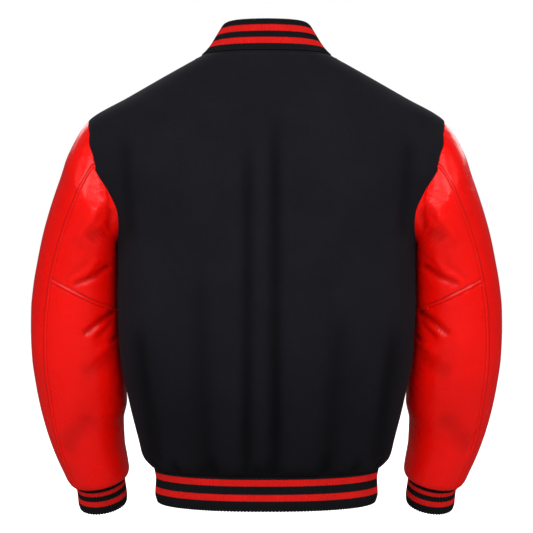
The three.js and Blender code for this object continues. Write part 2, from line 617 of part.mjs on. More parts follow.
// The snaps sit in a row down the centre line, the last of them on the waistband.
function snaps() {
  steps(SNAP.topZ, SNAP.bandZ, SNAP.count - 1).forEach((z, i) => {
    const onBand = z < HEM_SEAM;
    const surface = onBand ? bandSurface : torsoSurface;
    const knitLift = (KNIT + RIB_HEIGHT + LAP_GAP) / 2 + RIB_HEIGHT;
    const lift = onBand ? knitLift : (WOOL + LAP_GAP) / 2;
    const out = onBand ? new THREE.Vector3(0, -1, 0) : normalOf(surface, PI, z, -0.02, 4);
    const seat = surface(PI, z).addScaledVector(out, lift + SNAP.seat);
    const geometry = new THREE.LatheGeometry(snapProfile(), SNAP.sides);
    geometry.applyQuaternion(new THREE.Quaternion().setFromUnitVectors(new THREE.Vector3(0, 1, 0), out));
    geometry.translate(seat.x, seat.y, seat.z);
    add("snap_" + (i + 1), geometry, SNAP_FINISH);
  });
}

backPanel();
frontPanel("left_front", true);
frontPanel("right_front", false);
sleeves();
cuffs();
waistband();
collar();
snaps();

export default object;
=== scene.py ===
# %% [markdown]
# # A varsity jacket, dressed in Blender
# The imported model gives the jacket's true shape as plain thin walls. This script puts the real
# cloth over them: felted wool on the body, smooth red leather on the sleeves, ribbed knit at the
# neck, wrists and waist, and the rows of stitches that hold it all together. The wearer's left
# side is +X, the front faces -Y, and every length is in metres.

from collections import namedtuple
from math import pi, radians
from types import SimpleNamespace

import bpy
import numpy as np
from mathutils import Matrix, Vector


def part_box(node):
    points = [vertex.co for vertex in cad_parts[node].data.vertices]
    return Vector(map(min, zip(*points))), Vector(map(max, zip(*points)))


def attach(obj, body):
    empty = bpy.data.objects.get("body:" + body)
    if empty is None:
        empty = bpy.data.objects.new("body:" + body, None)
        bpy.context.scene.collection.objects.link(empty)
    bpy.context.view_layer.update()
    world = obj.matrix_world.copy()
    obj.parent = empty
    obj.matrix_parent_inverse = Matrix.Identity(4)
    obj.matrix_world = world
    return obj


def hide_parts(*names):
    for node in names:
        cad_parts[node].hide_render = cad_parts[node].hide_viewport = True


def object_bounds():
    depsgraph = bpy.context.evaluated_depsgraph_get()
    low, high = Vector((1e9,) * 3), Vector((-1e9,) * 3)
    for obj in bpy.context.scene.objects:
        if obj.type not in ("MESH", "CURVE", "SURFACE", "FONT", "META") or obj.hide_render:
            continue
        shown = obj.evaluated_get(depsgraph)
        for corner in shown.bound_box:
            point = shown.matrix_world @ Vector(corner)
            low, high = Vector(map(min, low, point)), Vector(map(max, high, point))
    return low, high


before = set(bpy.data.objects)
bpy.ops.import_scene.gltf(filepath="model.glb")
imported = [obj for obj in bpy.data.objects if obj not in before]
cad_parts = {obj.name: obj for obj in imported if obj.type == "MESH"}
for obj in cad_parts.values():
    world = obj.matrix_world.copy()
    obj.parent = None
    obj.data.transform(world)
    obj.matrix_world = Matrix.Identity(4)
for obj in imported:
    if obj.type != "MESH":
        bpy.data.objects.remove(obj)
CAD_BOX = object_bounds()
print("nodes in the frame:", len(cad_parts))

# %% [markdown]
# ## The camera
# The photograph was taken from behind, level with the jacket's middle and from a few metres away,
# so near and far parts differ little in size. A long lens at that distance repeats it. The camera
# comes first.

# %% Camera
CAMERA_DISTANCE = 2.6
CAMERA_HEIGHT = -0.3056
CAMERA_ASIDE = 0.0
PICTURE_WIDTH = 0.7888  # what the picture spans at the jacket's middle
SENSOR_WIDTH = 36  # millimetres, as a camera's sensor is always given

bpy.ops.object.select_all(action="DESELECT")
bpy.ops.object.camera_add(
    location=(CAMERA_ASIDE, CAMERA_DISTANCE, CAMERA_HEIGHT),
    rotation=(pi / 2, 0, pi),
)
camera = bpy.context.object
camera.name = "photo_camera"
camera.data.sensor_width = SENSOR_WIDTH
camera.data.lens = SENSOR_WIDTH * CAMERA_DISTANCE / PICTURE_WIDTH
bpy.context.scene.camera = camera
print("lens in millimetres:", round(camera.data.lens, 1))

# %% [markdown]
# ## Light and floor
# A shop picture has a white surround and large soft lamps. The world is white to the eye but
# dimmer as a lamp, so that the lamps can still shape the leather. The floor lies just below the
# cuffs. It is wide and plain, with no wall, so that the jacket can be seen from every side.

# %% Soft lamps and a pale floor
JACKET_MIDDLE = (0, 0, -0.3)
LAMP_SIZE = 1.2
LAMPS = {
    "key_lamp": ((0.8, 2.15, 0.75), 28),
    "fill_lamp": ((-0.8, 2.15, 0.75), 28),
    "left_side_lamp": ((2.2, 1.0, 0.6), 7),
    "right_side_lamp": ((-2.2, 1.0, 0.6), 7),
    "front_key_lamp": ((0.9, -2.0, 1.1), 24),
    "front_fill_lamp": ((-1.1, -1.9, 0.9), 18),
}
FLOOR_RADIUS = 9
FLOOR_GREY = 0.6
FLOOR_DROP = 0.06
FLOOR_GLOW = 1.0  # added for the eye alone, so that the floor meets the white surround
WHITE = (1, 1, 1, 1)
SURROUND_SEEN = 1.0
SURROUND_AS_LAMP = 0.24
SURROUND_IN_GLOSS = 0.06


def set_inputs(node, **values):
    """Plain values for a node's inputs. A space in an input's name is written as an underscore."""
    for name, value in values.items():
        node.inputs[name.replace("_", " ")].default_value = value


for name, (place, power) in LAMPS.items():
    bpy.ops.object.light_add(type="AREA", location=place)
    lamp = bpy.context.object
    lamp.name = name
    lamp.rotation_euler = (Vector(JACKET_MIDDLE) - Vector(place)).to_track_quat("-Z", "Y").to_euler()
    lamp.data.size = LAMP_SIZE
    lamp.data.energy = power

world = bpy.data.worlds.new("white_surround")
bpy.context.scene.world = world
world.use_nodes = True
world_nodes = world.node_tree.nodes
world_links = world.node_tree.links
surround = world_nodes["Background"]
set_inputs(surround, Color=WHITE)
ray = world_nodes.new("ShaderNodeLightPath")
unseen = world_nodes.new("ShaderNodeMapRange")
set_inputs(unseen, To_Min=SURROUND_AS_LAMP, To_Max=SURROUND_IN_GLOSS)
world_links.new(ray.outputs["Is Glossy Ray"], unseen.inputs["Value"])
strength = world_nodes.new("ShaderNodeMapRange")
set_inputs(strength, To_Max=SURROUND_SEEN)
world_links.new(unseen.outputs["Result"], strength.inputs["To Min"])
world_links.new(ray.outputs["Is Camera Ray"], strength.inputs["Value"])
world_links.new(strength.outputs["Result"], surround.inputs["Strength"])

bpy.ops.object.select_all(action="DESELECT")
floor_height = CAD_BOX[0][2] - FLOOR_DROP
bpy.ops.mesh.primitive_circle_add(
    vertices=96, radius=FLOOR_RADIUS, fill_type="NGON", location=(0, 0, floor_height)
)
floor = bpy.context.object
floor.name = "pale_floor"
bpy.ops.object.transform_apply(location=True)
floor_paint = bpy.data.materials.new("floor_paint")
floor_paint.use_nodes = True
floor_shader = floor_paint.node_tree.nodes["Principled BSDF"]
floor_colour = (FLOOR_GREY, FLOOR_GREY, FLOOR_GREY, 1)
set_inputs(floor_shader, Base_Color=floor_colour, Roughness=0.9, Emission_Color=WHITE)
floor_ray = floor_paint.node_tree.nodes.new("ShaderNodeLightPath")
floor_glow = floor_paint.node_tree.nodes.new("ShaderNodeMath")
floor_glow.operation = "MULTIPLY"
floor_glow.inputs[1].default_value = FLOOR_GLOW
floor_paint.node_tree.links.new(floor_ray.outputs["Is Camera Ray"], floor_glow.inputs[0])
floor_paint.node_tree.links.new(floor_glow.outputs[0], floor_shader.inputs["Emission Strength"])
floor.data.materials.append(floor_paint)
floor.visible_glossy = False
bpy.context.scene.view_settings.view_transform = "Standard"
print("floor height:", round(floor_height, 3))

# %% [markdown]
# ## Smooth tables
# A tailor's block is a short list of measurements at named heights, joined by fair curves. The
# same idea works here: each table gives a few sections, and every column becomes a smooth
# function that never swings past the values it passes through.


# %% Fair curves through a table
def smooth_between(at, values, x):
    """A smooth curve through values at those places, read at x."""
    rises = np.diff(values) / np.diff(at)
    before = np.concatenate([rises[:1], rises])
    after = np.concatenate([rises, rises[-1:]])
    same_way = before * after > 0
    slopes = np.where(same_way, 2 * before * after / np.where(same_way, before + after, 1), 0)
    x = np.clip(x, at[0], at[-1])
    i = np.clip(np.searchsorted(at, x) - 1, 0, len(at) - 2)
    width = at[i + 1] - at[i]
    s = (x - at[i]) / width
    start = values[i] * (1 + 2 * s) * (1 - s) ** 2 + slopes[i] * width * s * (1 - s) ** 2
    end = values[i + 1] * (3 - 2 * s) * s**2 - slopes[i + 1] * width * s**2 * (1 - s)
    return start + end


def table(columns, *rows):
    """A table whose named columns are smooth functions of its first one."""
    values = np.array(rows, dtype=float)
    curves = {
        name: (lambda x, column=values[:, i]: smooth_between(values[:, 0], column, x))
        for i, name in enumerate(columns.split())
        if i > 0
    }
    return SimpleNamespace(**curves)


def eased(share):
    """0 up to a share of 0, 1 from a share of 1, and a soft step between."""
    share = np.clip(share, 0, 1)
    return share**2 * (3 - 2 * share)


# %% [markdown]
# ## Folds
# Cloth that is filled out keeps a few long soft folds, and gathers where it is eased on to
# something tighter. Each one here is a line on the surface with a half width and a depth. The
# surface sinks along it by a bell curve, and the fold fades at both ends. A negative depth is a
# ridge. They could also be sculpted, but a list can be compared with the photograph one by one.

# %% What a fold does
Fold = namedtuple("Fold", "x0 y0 x1 y1 width depth")
FOLD_END = 0.25  # the share of a fold's length over which each end fades


def sunk_by(folds, x, y):
    """How far these folds sink a surface at (x, y)."""
    total = np.zeros(np.broadcast(x, y).shape)
    for fold in folds:
        along_x = fold.x1 - fold.x0
        along_y = fold.y1 - fold.y0
        length = np.hypot(along_x, along_y)
        along = ((x - fold.x0) * along_x + (y - fold.y0) * along_y) / length**2
        aside = ((x - fold.x0) * along_y - (y - fold.y0) * along_x) / length
        ends = eased(along / FOLD_END + 0.5) * eased((1 - along) / FOLD_END + 0.5)
        total += fold.depth * ends * np.exp(-((aside / fold.width) ** 2))
    return total


def outward(surface, a, b, step_a, step_b):
    """The direction out of a surface at (a, b). The signs of the steps choose the side."""
    across_a = surface(a + step_a, b) - surface(a - step_a, b)
    across_b = surface(a, b + step_b) - surface(a, b - step_b)
    normal = np.cross(across_a, across_b)
    return normal / np.linalg.norm(normal, axis=-1, keepdims=True)


# %% [markdown]
# ## The body's shape
# The wool body is a tube of squarish level rings, widest at the shoulders, blousing over the
# waistband. Round each ring an angle of 0 is the centre back and a quarter turn is the wearer's
# left side. Inside the armholes the table's width is that of the shoulder that the hole is cut
# from. These are the sizes of the frame's solids, so the cloth lies where they do.

# %% The body's sections
NECK_TOP = 0.005
FRONT_NECK = -0.078
HEM_SEAM = -0.603
NECK_HALF_WIDTH = 0.096
SQUARENESS = 2.4  # 2 makes a ring an ellipse, and more makes it squarer
TORSO = table(
    "z side back front",
    (-0.603, 0.165, 0.1215, 0.1175),
    (-0.597, 0.174, 0.131, 0.126),
    (-0.586, 0.1825, 0.138, 0.1325),
    (-0.561, 0.189, 0.1405, 0.135),
    (-0.507, 0.2025, 0.141, 0.1375),
    (-0.435, 0.2163, 0.139, 0.1395),
    (-0.35, 0.2201, 0.137, 0.141),
    (-0.3, 0.2201, 0.137, 0.141),
    (-0.272, 0.2208, 0.137, 0.141),
    (-0.251, 0.228, 0.1365, 0.1395),
    (-0.226, 0.2415, 0.1355, 0.1365),
    (-0.196, 0.2675, 0.1335, 0.1305),
    (-0.165, 0.2905, 0.1305, 0.124),
    (-0.135, 0.292, 0.1255, 0.1165),
    (-0.11, 0.2775, 0.1205, 0.11),
    (-0.089, 0.261, 0.115, 0.104),
    (-0.056, 0.204, 0.105, 0.095),
    (-0.02, 0.141, 0.091, 0.08),
    (0.005, 0.096, 0.078, 0.062),
)


def ring_point(sections, angle, z):
    """The point of a level ring at this angle and height."""
    angle, z = np.broadcast_arrays(np.asarray(angle, float), np.asarray(z, float))
    depth = np.where(np.cos(angle) >= 0, sections.back(z), -sections.front(z))
    reach = np.sqrt(np.maximum(0, 1 - np.abs(np.sin(angle)) ** SQUARENESS))
    return np.stack([sections.side(z) * np.sin(angle), depth * reach, z], -1)


def smooth_torso(angle, z):
    return ring_point(TORSO, angle, z)


# %% The body's folds
BACK_FOLDS = [
    Fold(0.026, -0.150, 0.028, -0.590, 0.009, 0.0038),
    Fold(-0.012, -0.120, -0.013, -0.590, 0.009, 0.0042),
    Fold(0.186, -0.400, 0.158, -0.592, 0.013, 0.0040),
    Fold(-0.186, -0.400, -0.158, -0.592, 0.013, 0.0040),
    Fold(0.203, -0.130, 0.196, -0.260, 0.010, 0.0026),
    Fold(-0.203, -0.130, -0.196, -0.260, 0.010, 0.0026),
    Fold(0.096, -0.330, 0.084, -0.590, 0.015, 0.0020),
    Fold(-0.102, -0.380, -0.088, -0.590, 0.015, 0.0020),
]
FRONT_FOLDS = [
    Fold(0.150, -0.250, 0.118, -0.590, 0.016, 0.0034),
    Fold(-0.156, -0.230, -0.112, -0.590, 0.016, 0.0032),
    Fold(0.070, -0.360, 0.058, -0.592, 0.013, 0.0022),
    Fold(-0.076, -0.330, -0.062, -0.592, 0.013, 0.0024),
]
Gather = namedtuple("Gather", "degrees reach width depth")
GATHERS = [
    Gather(-2, 0.042, 2.6, 0.0042),
    Gather(4, 0.030, 2.2, 0.0028),
    Gather(25, 0.040, 3.0, 0.0044),
    Gather(31, 0.026, 2.2, 0.0026),
    Gather(-27, 0.044, 3.0, 0.0044),
    Gather(46, 0.034, 3.0, 0.0038),
    Gather(-45, 0.036, 3.0, 0.0038),
    Gather(64, 0.028, 3.0, 0.0030),
    Gather(-66, 0.030, 3.0, 0.0032),
    Gather(84, 0.026, 3.2, 0.0026),
    Gather(-86, 0.024, 3.2, 0.0024),
    Gather(108, 0.030, 3.0, 0.0032),
    Gather(-106, 0.028, 3.0, 0.0030),
    Gather(130, 0.038, 3.0, 0.0040),
    Gather(-128, 0.036, 3.0, 0.0038),
    Gather(150, 0.040, 3.0, 0.0042),
    Gather(-149, 0.042, 3.0, 0.0040),
    Gather(164, 0.028, 2.4, 0.0030),
    Gather(-165, 0.026, 2.4, 0.0028),
]
PUCKERS_ROUND_HEM = 74
PUCKER_DEPTH = 0.0005
PUCKER_REACH = 0.022
FLAT_ABOVE_HEM = 0.008


def torso_dip(angle, point):
    """How far the folds, the gathers and the fine puckers above the hem sink the wool."""
    x = point[..., 0]
    height = point[..., 2]
    angle = np.broadcast_to(angle, x.shape)
    behind = eased(0.5 + 6 * np.cos(angle))
    dip = behind * sunk_by(BACK_FOLDS, x, height) + (1 - behind) * sunk_by(FRONT_FOLDS, x, height)
    degrees = np.degrees(angle)
    for gather in GATHERS:
        turn = np.abs((degrees - gather.degrees + 540) % 360 - 180) / gather.width
        dip += gather.depth * np.exp(-(turn**2)) * eased(1 - (height - HEM_SEAM) / gather.reach)
    above_hem = eased(1 - (height - HEM_SEAM) / PUCKER_REACH)
    dip += PUCKER_DEPTH * above_hem * (1 + np.sin(PUCKERS_ROUND_HEM * angle + 2 * np.sin(5 * angle)))
    return dip * eased((height - HEM_SEAM) / FLAT_ABOVE_HEM)


def torso_surface(angle, z):
    """The wool's outer surface."""
    point = smooth_torso(angle, z)
    out = outward(smooth_torso, angle, z, -0.01, 0.0005)
    return point - out * torso_dip(angle, point)[..., None]


def torso_out(angle, z):
    return outward(torso_surface, angle, z, -0.01, 0.0005)


# %% [markdown]
# ## The sleeves' shape
# A sleeve starts at the armhole, an upright oval seen from the side, and hangs down past the
# elbow with the forearm swung forward. Its rings are tilted ellipses. The table gives each ring's
# outermost and innermost points as seen from behind, where it lies front to back, its half depth,
# and how far the back of the ring leans down. Round a ring, 0 is outermost and a quarter turn
# faces back.

# %% The sleeves' sections
ARMHOLE_HEIGHT = -0.1805
ARMHOLE_HALF_HEIGHT = 0.0915
ARMHOLE_HALF_DEPTH = 0.076
ARMHOLE_BLEND = 0.14  # the share of a sleeve over which its ring turns into the armhole
SLEEVE_COLUMNS = "t out_x out_z in_x in_z mid_y depth lean"
SLEEVE = table(
    SLEEVE_COLUMNS,
    (0, 0.261, -0.089, 0.2195, -0.272, 0, 0.076, 0),
    (0.06, 0.28, -0.111, 0.221, -0.2748, 0.001, 0.079, 0),
    (0.12, 0.2928, -0.14, 0.2209, -0.2795, 0.001, 0.081, 0),
    (0.18, 0.303, -0.17, 0.2208, -0.2865, -0.003, 0.082, 0),
    (0.24, 0.3135, -0.198, 0.2206, -0.295, -0.0085, 0.0815, 0),
    (0.3, 0.3235, -0.227, 0.2206, -0.307, -0.014, 0.08, 0),
    (0.36, 0.3328, -0.259, 0.2207, -0.323, -0.018, 0.077, 0),
    (0.42, 0.3408, -0.296, 0.2213, -0.346, -0.021, 0.074, 0),
    (0.48, 0.3475, -0.333, 0.2208, -0.372, -0.023, 0.0715, 3),
    (0.54, 0.3512, -0.369, 0.2197, -0.398, -0.025, 0.0695, 7),
    (0.6, 0.3518, -0.405, 0.2182, -0.423, -0.0275, 0.068, 11),
    (0.66, 0.3505, -0.441, 0.2155, -0.45, -0.0315, 0.066, 14),
    (0.72, 0.3464, -0.476, 0.211, -0.478, -0.038, 0.064, 16),
    (0.78, 0.3405, -0.512, 0.21, -0.507, -0.0465, 0.0615, 18),
    (0.84, 0.332, -0.548, 0.2155, -0.537, -0.055, 0.0585, 19),
    (0.9, 0.3205, -0.584, 0.2148, -0.57, -0.064, 0.054, 20),
    (0.95, 0.3092, -0.612, 0.211, -0.598, -0.0725, 0.0505, 20),
    (0.975, 0.302, -0.628, 0.2093, -0.613, -0.077, 0.0475, 20),
    (0.991, 0.297, -0.633, 0.212, -0.6205, -0.079, 0.0425, 20),
    (1, 0.291, -0.6302, 0.218, -0.6199, -0.0785, 0.0365, 20),
)
CUFF = table(
    SLEEVE_COLUMNS,
    (0, 0.291, -0.6312, 0.218, -0.6209, -0.079, 0.0365, 20),
    (0.4, 0.288, -0.6485, 0.2162, -0.639, -0.0865, 0.036, 20),
    (0.8, 0.287, -0.6655, 0.2145, -0.657, -0.093, 0.0362, 20),
    (1, 0.285, -0.6735, 0.2155, -0.6655, -0.096, 0.0348, 20),
)
LONG_SEAMS = table(
    "t back front",
    (0, 80, 240),
    (0.12, 76, 238),
    (0.3, 68.5, 236),
    (0.55, 57.5, 233),
    (1, 50, 232),
)
ELBOW_SEAM_BACK = 0.455
ELBOW_SEAM_FRONT = 0.5


def tilted_ring(sections, turn, t):
    """The point of a sleeve's or cuff's ring."""
    turn, t = np.broadcast_arrays(np.asarray(turn, float), np.asarray(t, float))
    middle_y = sections.mid_y(t)
    outermost = np.stack([sections.out_x(t), middle_y, sections.out_z(t)], -1)
    innermost = np.stack([sections.in_x(t), middle_y, sections.in_z(t)], -1)
    middle = (outermost + innermost) / 2
    lean = np.radians(sections.lean(t))
    back = np.stack([0 * lean, np.cos(lean), -np.sin(lean)], -1) * sections.depth(t)[..., None]
    return middle + (outermost - middle) * np.cos(turn)[..., None] + back * np.sin(turn)[..., None]


def ring_angle(y, depth):
    """The angle, within a quarter turn, of a torso point this far behind or before the sides."""
    return np.arcsin((1 - (y / depth) ** 2) ** (1 / SQUARENESS))


def armhole_point(turn):
    """The armhole seam by its turn from the shoulder point backwards."""
    z = ARMHOLE_HEIGHT + ARMHOLE_HALF_HEIGHT * np.cos(turn)
    y = ARMHOLE_HALF_DEPTH * np.sin(turn)
    behind = ring_angle(np.abs(y), TORSO.back(z))
    before = pi - ring_angle(np.abs(y), TORSO.front(z))
    return torso_surface(np.where(y >= 0, behind, before), z)


def smooth_sleeve(turn, t):
    turn, t = np.broadcast_arrays(np.asarray(turn, float), np.asarray(t, float))
    ring = tilted_ring(SLEEVE, turn, np.clip(t, 0, 1))
    share = eased(np.clip(t, 0, 1) / ARMHOLE_BLEND)[..., None]
    return ring * share + armhole_point(turn) * (1 - share)


# %% [markdown]
# The leather creases where the arm bends, above and below the elbow seam, and a soft ridge runs
# down from the armhole. On a sleeve a fold's place is a turn in degrees and a share of the length,
# which become distances over the leather.

# %% The sleeves' folds
SLEEVE_GIRTH_RADIUS = 0.066
SLEEVE_LENGTH = 0.56


def crease(from_degrees, from_t, to_degrees, to_t, width, depth):
    """A fold of a sleeve from one place on the leather to another."""
    along = radians(1) * SLEEVE_GIRTH_RADIUS
    return Fold(
        from_degrees * along, from_t * SLEEVE_LENGTH, to_degrees * along, to_t * SLEEVE_LENGTH, width, depth
    )


SLEEVE_FOLDS = [
    crease(89, 0.015, 108, 0.065, 0.0055, -0.0020),
    crease(108, 0.065, 106, 0.15, 0.0055, -0.0024),
    crease(106, 0.15, 88, 0.31, 0.0065, -0.0026),
    crease(118, 0.05, 134, 0.10, 0.009, 0.0026),
    crease(134, 0.12, 106, 0.27, 0.010, 0.0022),
    crease(130, 0.170, 104, 0.195, 0.0030, 0.0007),
    crease(134, 0.205, 106, 0.222, 0.0030, 0.0008),
    crease(130, 0.245, 98, 0.262, 0.0032, 0.0008),
    crease(112, 0.290, 92, 0.330, 0.0034, 0.0007),
    crease(146, 0.318, 122, 0.390, 0.0046, 0.0034),
    crease(122, 0.390, 92, 0.438, 0.0044, 0.0030),
    crease(124, 0.318, 107, 0.398, 0.0040, -0.0020),
    crease(107, 0.398, 88, 0.438, 0.0040, -0.0016),
    crease(112, 0.350, 78, 0.440, 0.0040, 0.0010),
    crease(160, 0.478, 129, 0.517, 0.0052, 0.0044),
    crease(129, 0.517, 108, 0.557, 0.0048, 0.0036),
    crease(138, 0.520, 112, 0.562, 0.0040, -0.0014),
    crease(154, 0.506, 125, 0.562, 0.0042, 0.0024),
    crease(166, 0.560, 144, 0.580, 0.0046, 0.0026),
    crease(154, 0.572, 126, 0.606, 0.0065, -0.0018),
    crease(150, 0.62, 104, 0.66, 0.012, 0.0016),
    crease(106, 0.78, 58, 0.87, 0.016, 0.0022),
    crease(240, 0.06, 292, 0.28, 0.011, 0.0034),
    crease(215, 0.34, 280, 0.42, 0.009, 0.0046),
    crease(200, 0.46, 290, 0.50, 0.009, 0.0054),
    crease(210, 0.56, 276, 0.60, 0.009, 0.0044),
    crease(260, 0.72, 310, 0.84, 0.013, 0.0026),
]


def sleeve_dip(turn, t):
    """How far the creases sink the leather."""
    turn, t = np.broadcast_arrays(np.asarray(turn, float), np.asarray(t, float))
    around = (turn % (2 * pi)) * SLEEVE_GIRTH_RADIUS
    flat = eased(t / 0.04) * eased((0.98 - t) / 0.05)
    return flat * sunk_by(SLEEVE_FOLDS, around, t * SLEEVE_LENGTH)


def sleeve_surface(turn, t):
    """The leather's outer surface, with its creases."""
    out = outward(smooth_sleeve, turn, t, 0.02, -0.004)
    return smooth_sleeve(turn, t) - out * sleeve_dip(turn, t)[..., None]


def sleeve_out(turn, t):
    return outward(sleeve_surface, turn, t, 0.02, -0.004)


# %% [markdown]
# ## From a grid of points to a sheet of cloth
# Each wool or leather piece starts as Blender's own grid. Its corners are moved on to the worked
# out surface, Solidify gives the cloth its thickness on the inside, and a small Bevel rounds the
# raw edges, so that two pieces meet in a soft groove as sewn cloth does. The piece's cut, the size
# it would have on the cutting table, is measured from the same points.

# %% Making a sheet
WOOL_THICKNESS = 0.0022
LEATHER_THICKNESS = 0.0016
EDGE_ROUNDING = 0.0006


def lengths_along(points, axis):
    """The distance over the cloth from a grid's first row or column to each of its points."""
    step = np.linalg.norm(np.diff(points, axis=axis), axis=-1)
    return np.concatenate([np.zeros_like(np.take(step, [0], axis)), np.cumsum(step, axis)], axis)


def cut_of(points):
    """(width, length) and area of a grid of points laid flat."""
    across = points[:-1, 1:] - points[:-1, :-1]
    up = points[1:, :-1] - points[:-1, :-1]
    area = np.linalg.norm(np.cross(across, up), axis=-1).sum()
    width = lengths_along(points, 1)[:, -1].max()
    length = lengths_along(points, 0)[-1].max()
    return (float(width), float(length)), float(area)


def finish_with(piece, kind, **settings):
    """Adds a modifier to the active piece and applies it."""
    bpy.ops.object.modifier_add(type=kind)
    modifier = piece.modifiers[-1]
    for name, value in settings.items():
        setattr(modifier, name, value)
    bpy.ops.object.modifier_apply(modifier=modifier.name)


def grid_piece(name, points):
    """A new grid with its corners at these points."""
    rows, columns = points.shape[:2]
    bpy.ops.object.select_all(action="DESELECT")
    bpy.ops.mesh.primitive_grid_add(x_subdivisions=columns - 1, y_subdivisions=rows - 1, size=1)
    piece = bpy.context.object
    piece.name = name
    piece.data.name = name
    piece.data.vertices.foreach_set("co", points.astype(np.float32).ravel())
    piece.data.update()
    return piece


def add_to_jacket(piece, node, material):
    """The piece rides with the jacket in place of a node, with that finish."""
    piece.data.materials.clear()
    piece.data.materials.append(material)
    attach(piece, "root")
    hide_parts(node)


def cloth_sheet(node, points, thickness, material, folded=None):
    """A sheet of wool or leather through these points. folded is each point's painted shade: mostly how deep in a
    fold it lies, on the wool also how near the hem, on the leather also how near the stitch groove.
    """
    piece = grid_piece(node + "_cloth", points)
    if folded is not None:
        # the attribute folded carries each point's painted shade
        shade_marks = piece.data.attributes.new("folded", "FLOAT", "POINT")
        shade_marks.data.foreach_set("value", np.ascontiguousarray(folded, np.float32).ravel())
    finish_with(piece, "SOLIDIFY", thickness=thickness, offset=-1)
    finish_with(piece, "BEVEL", width=EDGE_ROUNDING, segments=2, limit_method="ANGLE", angle_limit=radians(60))
    bpy.ops.object.shade_smooth_by_angle(angle=radians(55))
    add_to_jacket(piece, node, material)
    flat, area = cut_of(points)
    print(node, "cut", [round(side, 3) for side in flat], "area", round(area, 4))
    return piece


# %% [markdown]
# ## Shader groups
# Two effects return in more than one material. Mottling is the slow drift in depth of colour that
# dyed cloth and leather always have. Nap is the short tangle of fibres on wool and knit. Each is a
# node group with its own inputs, so that every material can set its scale, and the mottling's depth.


# %% Groups that several finishes share
def new_group(name, inputs, outputs):
    """An empty shader group with these sockets, and its input and output nodes."""
    group = bpy.data.node_groups.new(name, "ShaderNodeTree")
    for socket, kind, default in inputs:
        made = group.interface.new_socket(socket, in_out="INPUT", socket_type=kind)
        if default is not None:
            made.default_value = default
    for socket, kind in outputs:
        group.interface.new_socket(socket, in_out="OUTPUT", socket_type=kind)
    return group, group.nodes.new("NodeGroupInput"), group.nodes.new("NodeGroupOutput")


def noise(tree, vector, scale, detail=4.0, roughness=0.55, distortion=0.0):
    """A noise texture node on these coordinates. A scale given as a socket is linked."""
    node = tree.nodes.new("ShaderNodeTexNoise")
    tree.links.new(vector, node.inputs["Vector"])
    if isinstance(scale, (int, float)):
        node.inputs["Scale"].default_value = scale
    else:
        tree.links.new(scale, node.inputs["Scale"])
    set_inputs(node, Detail=detail, Roughness=roughness, Distortion=distortion)
    return node.outputs["Fac"]


def maths(tree, operation, *values):
    """A maths node whose inputs are sockets or numbers."""
    node = tree.nodes.new("ShaderNodeMath")
    node.operation = operation
    for i, value in enumerate(values):
        if isinstance(value, (int, float)):
            node.inputs[i].default_value = value
        else:
            tree.links.new(value, node.inputs[i])
    return node.outputs[0]


def mottle_group():
    group, ins, outs = new_group(
        "mottling",
        [("Vector", "NodeSocketVector", None), ("Scale", "NodeSocketFloat", 20.0), ("Depth", "NodeSocketFloat", 0.3)],
        [("Shade", "NodeSocketFloat")],
    )
    wide = noise(group, ins.outputs["Vector"], ins.outputs["Scale"], 3)
    centred = maths(group, "SUBTRACT", wide, 0.5)
    scaled = maths(group, "MULTIPLY", centred, ins.outputs["Depth"])
    group.links.new(maths(group, "ADD", scaled, 1.0), outs.inputs["Shade"])
    return group


def nap_group():
    group, ins, outs = new_group(
        "fibre nap",
        [("Vector", "NodeSocketVector", None), ("Scale", "NodeSocketFloat", 900.0)],
        [("Height", "NodeSocketFloat"), ("Shade", "NodeSocketFloat")],
    )
    fine = noise(group, ins.outputs["Vector"], ins.outputs["Scale"], 6, 0.7, 1.5)
    coarse_scale = maths(group, "MULTIPLY", ins.outputs["Scale"], 0.23)
    coarse = noise(group, ins.outputs["Vector"], coarse_scale, 3, 0.5, 2.5)
    tangle = maths(group, "ADD", maths(group, "MULTIPLY", fine, 0.6), maths(group, "MULTIPLY", coarse, 0.4))
    group.links.new(tangle, outs.inputs["Height"])
    group.links.new(maths(group, "MULTIPLY", tangle, 2.0), outs.inputs["Shade"])
    return group


MOTTLING = mottle_group()
NAP = nap_group()


def place_group(tree, group, vector, **values):
    """A group node on these coordinates, with values for its other inputs."""
    node = tree.nodes.new("ShaderNodeGroup")
    node.node_tree = group
    tree.links.new(vector, node.inputs["Vector"])
    set_inputs(node, **values)
    return node


def new_material(name):
    """A material with its Principled shader, and its object coordinates."""
    material = bpy.data.materials.new(name)
    material.use_nodes = True
    tree = material.node_tree
    coordinates = tree.nodes.new("ShaderNodeTexCoord")
    return material, tree, tree.nodes["Principled BSDF"], coordinates


def shaded_colour(tree, colour, *shades):
    """A colour, or a colour socket, made lighter or darker by each of these shades."""
    for shade in shades:
        mix = tree.nodes.new("ShaderNodeMix")
        mix.data_type = "RGBA"
        mix.blend_type = "MULTIPLY"
        mix.inputs["Factor"].default_value = 1
        if isinstance(colour, tuple):
            mix.inputs["A"].default_value = colour
        else:
            tree.links.new(colour, mix.inputs["A"])
        grey = tree.nodes.new("ShaderNodeCombineColor")
        for channel in ("Red", "Green", "Blue"):
            tree.links.new(shade, grey.inputs[channel])
        tree.links.new(grey.outputs["Color"], mix.inputs["B"])
        colour = mix.outputs["Result"]
    return colour


def bump(tree, shader, *layers):
    """Bump nodes in a chain, each a height with its strength and its depth in metres."""
    normal = None
    for height, amount, distance in layers:
        node = tree.nodes.new("ShaderNodeBump")
        set_inputs(node, Strength=amount, Distance=distance)
        tree.links.new(height, node.inputs["Height"])
        if normal is not None:
            tree.links.new(normal, node.inputs["Normal"])
        normal = node.outputs["Normal"]
    tree.links.new(normal, shader.inputs["Normal"])
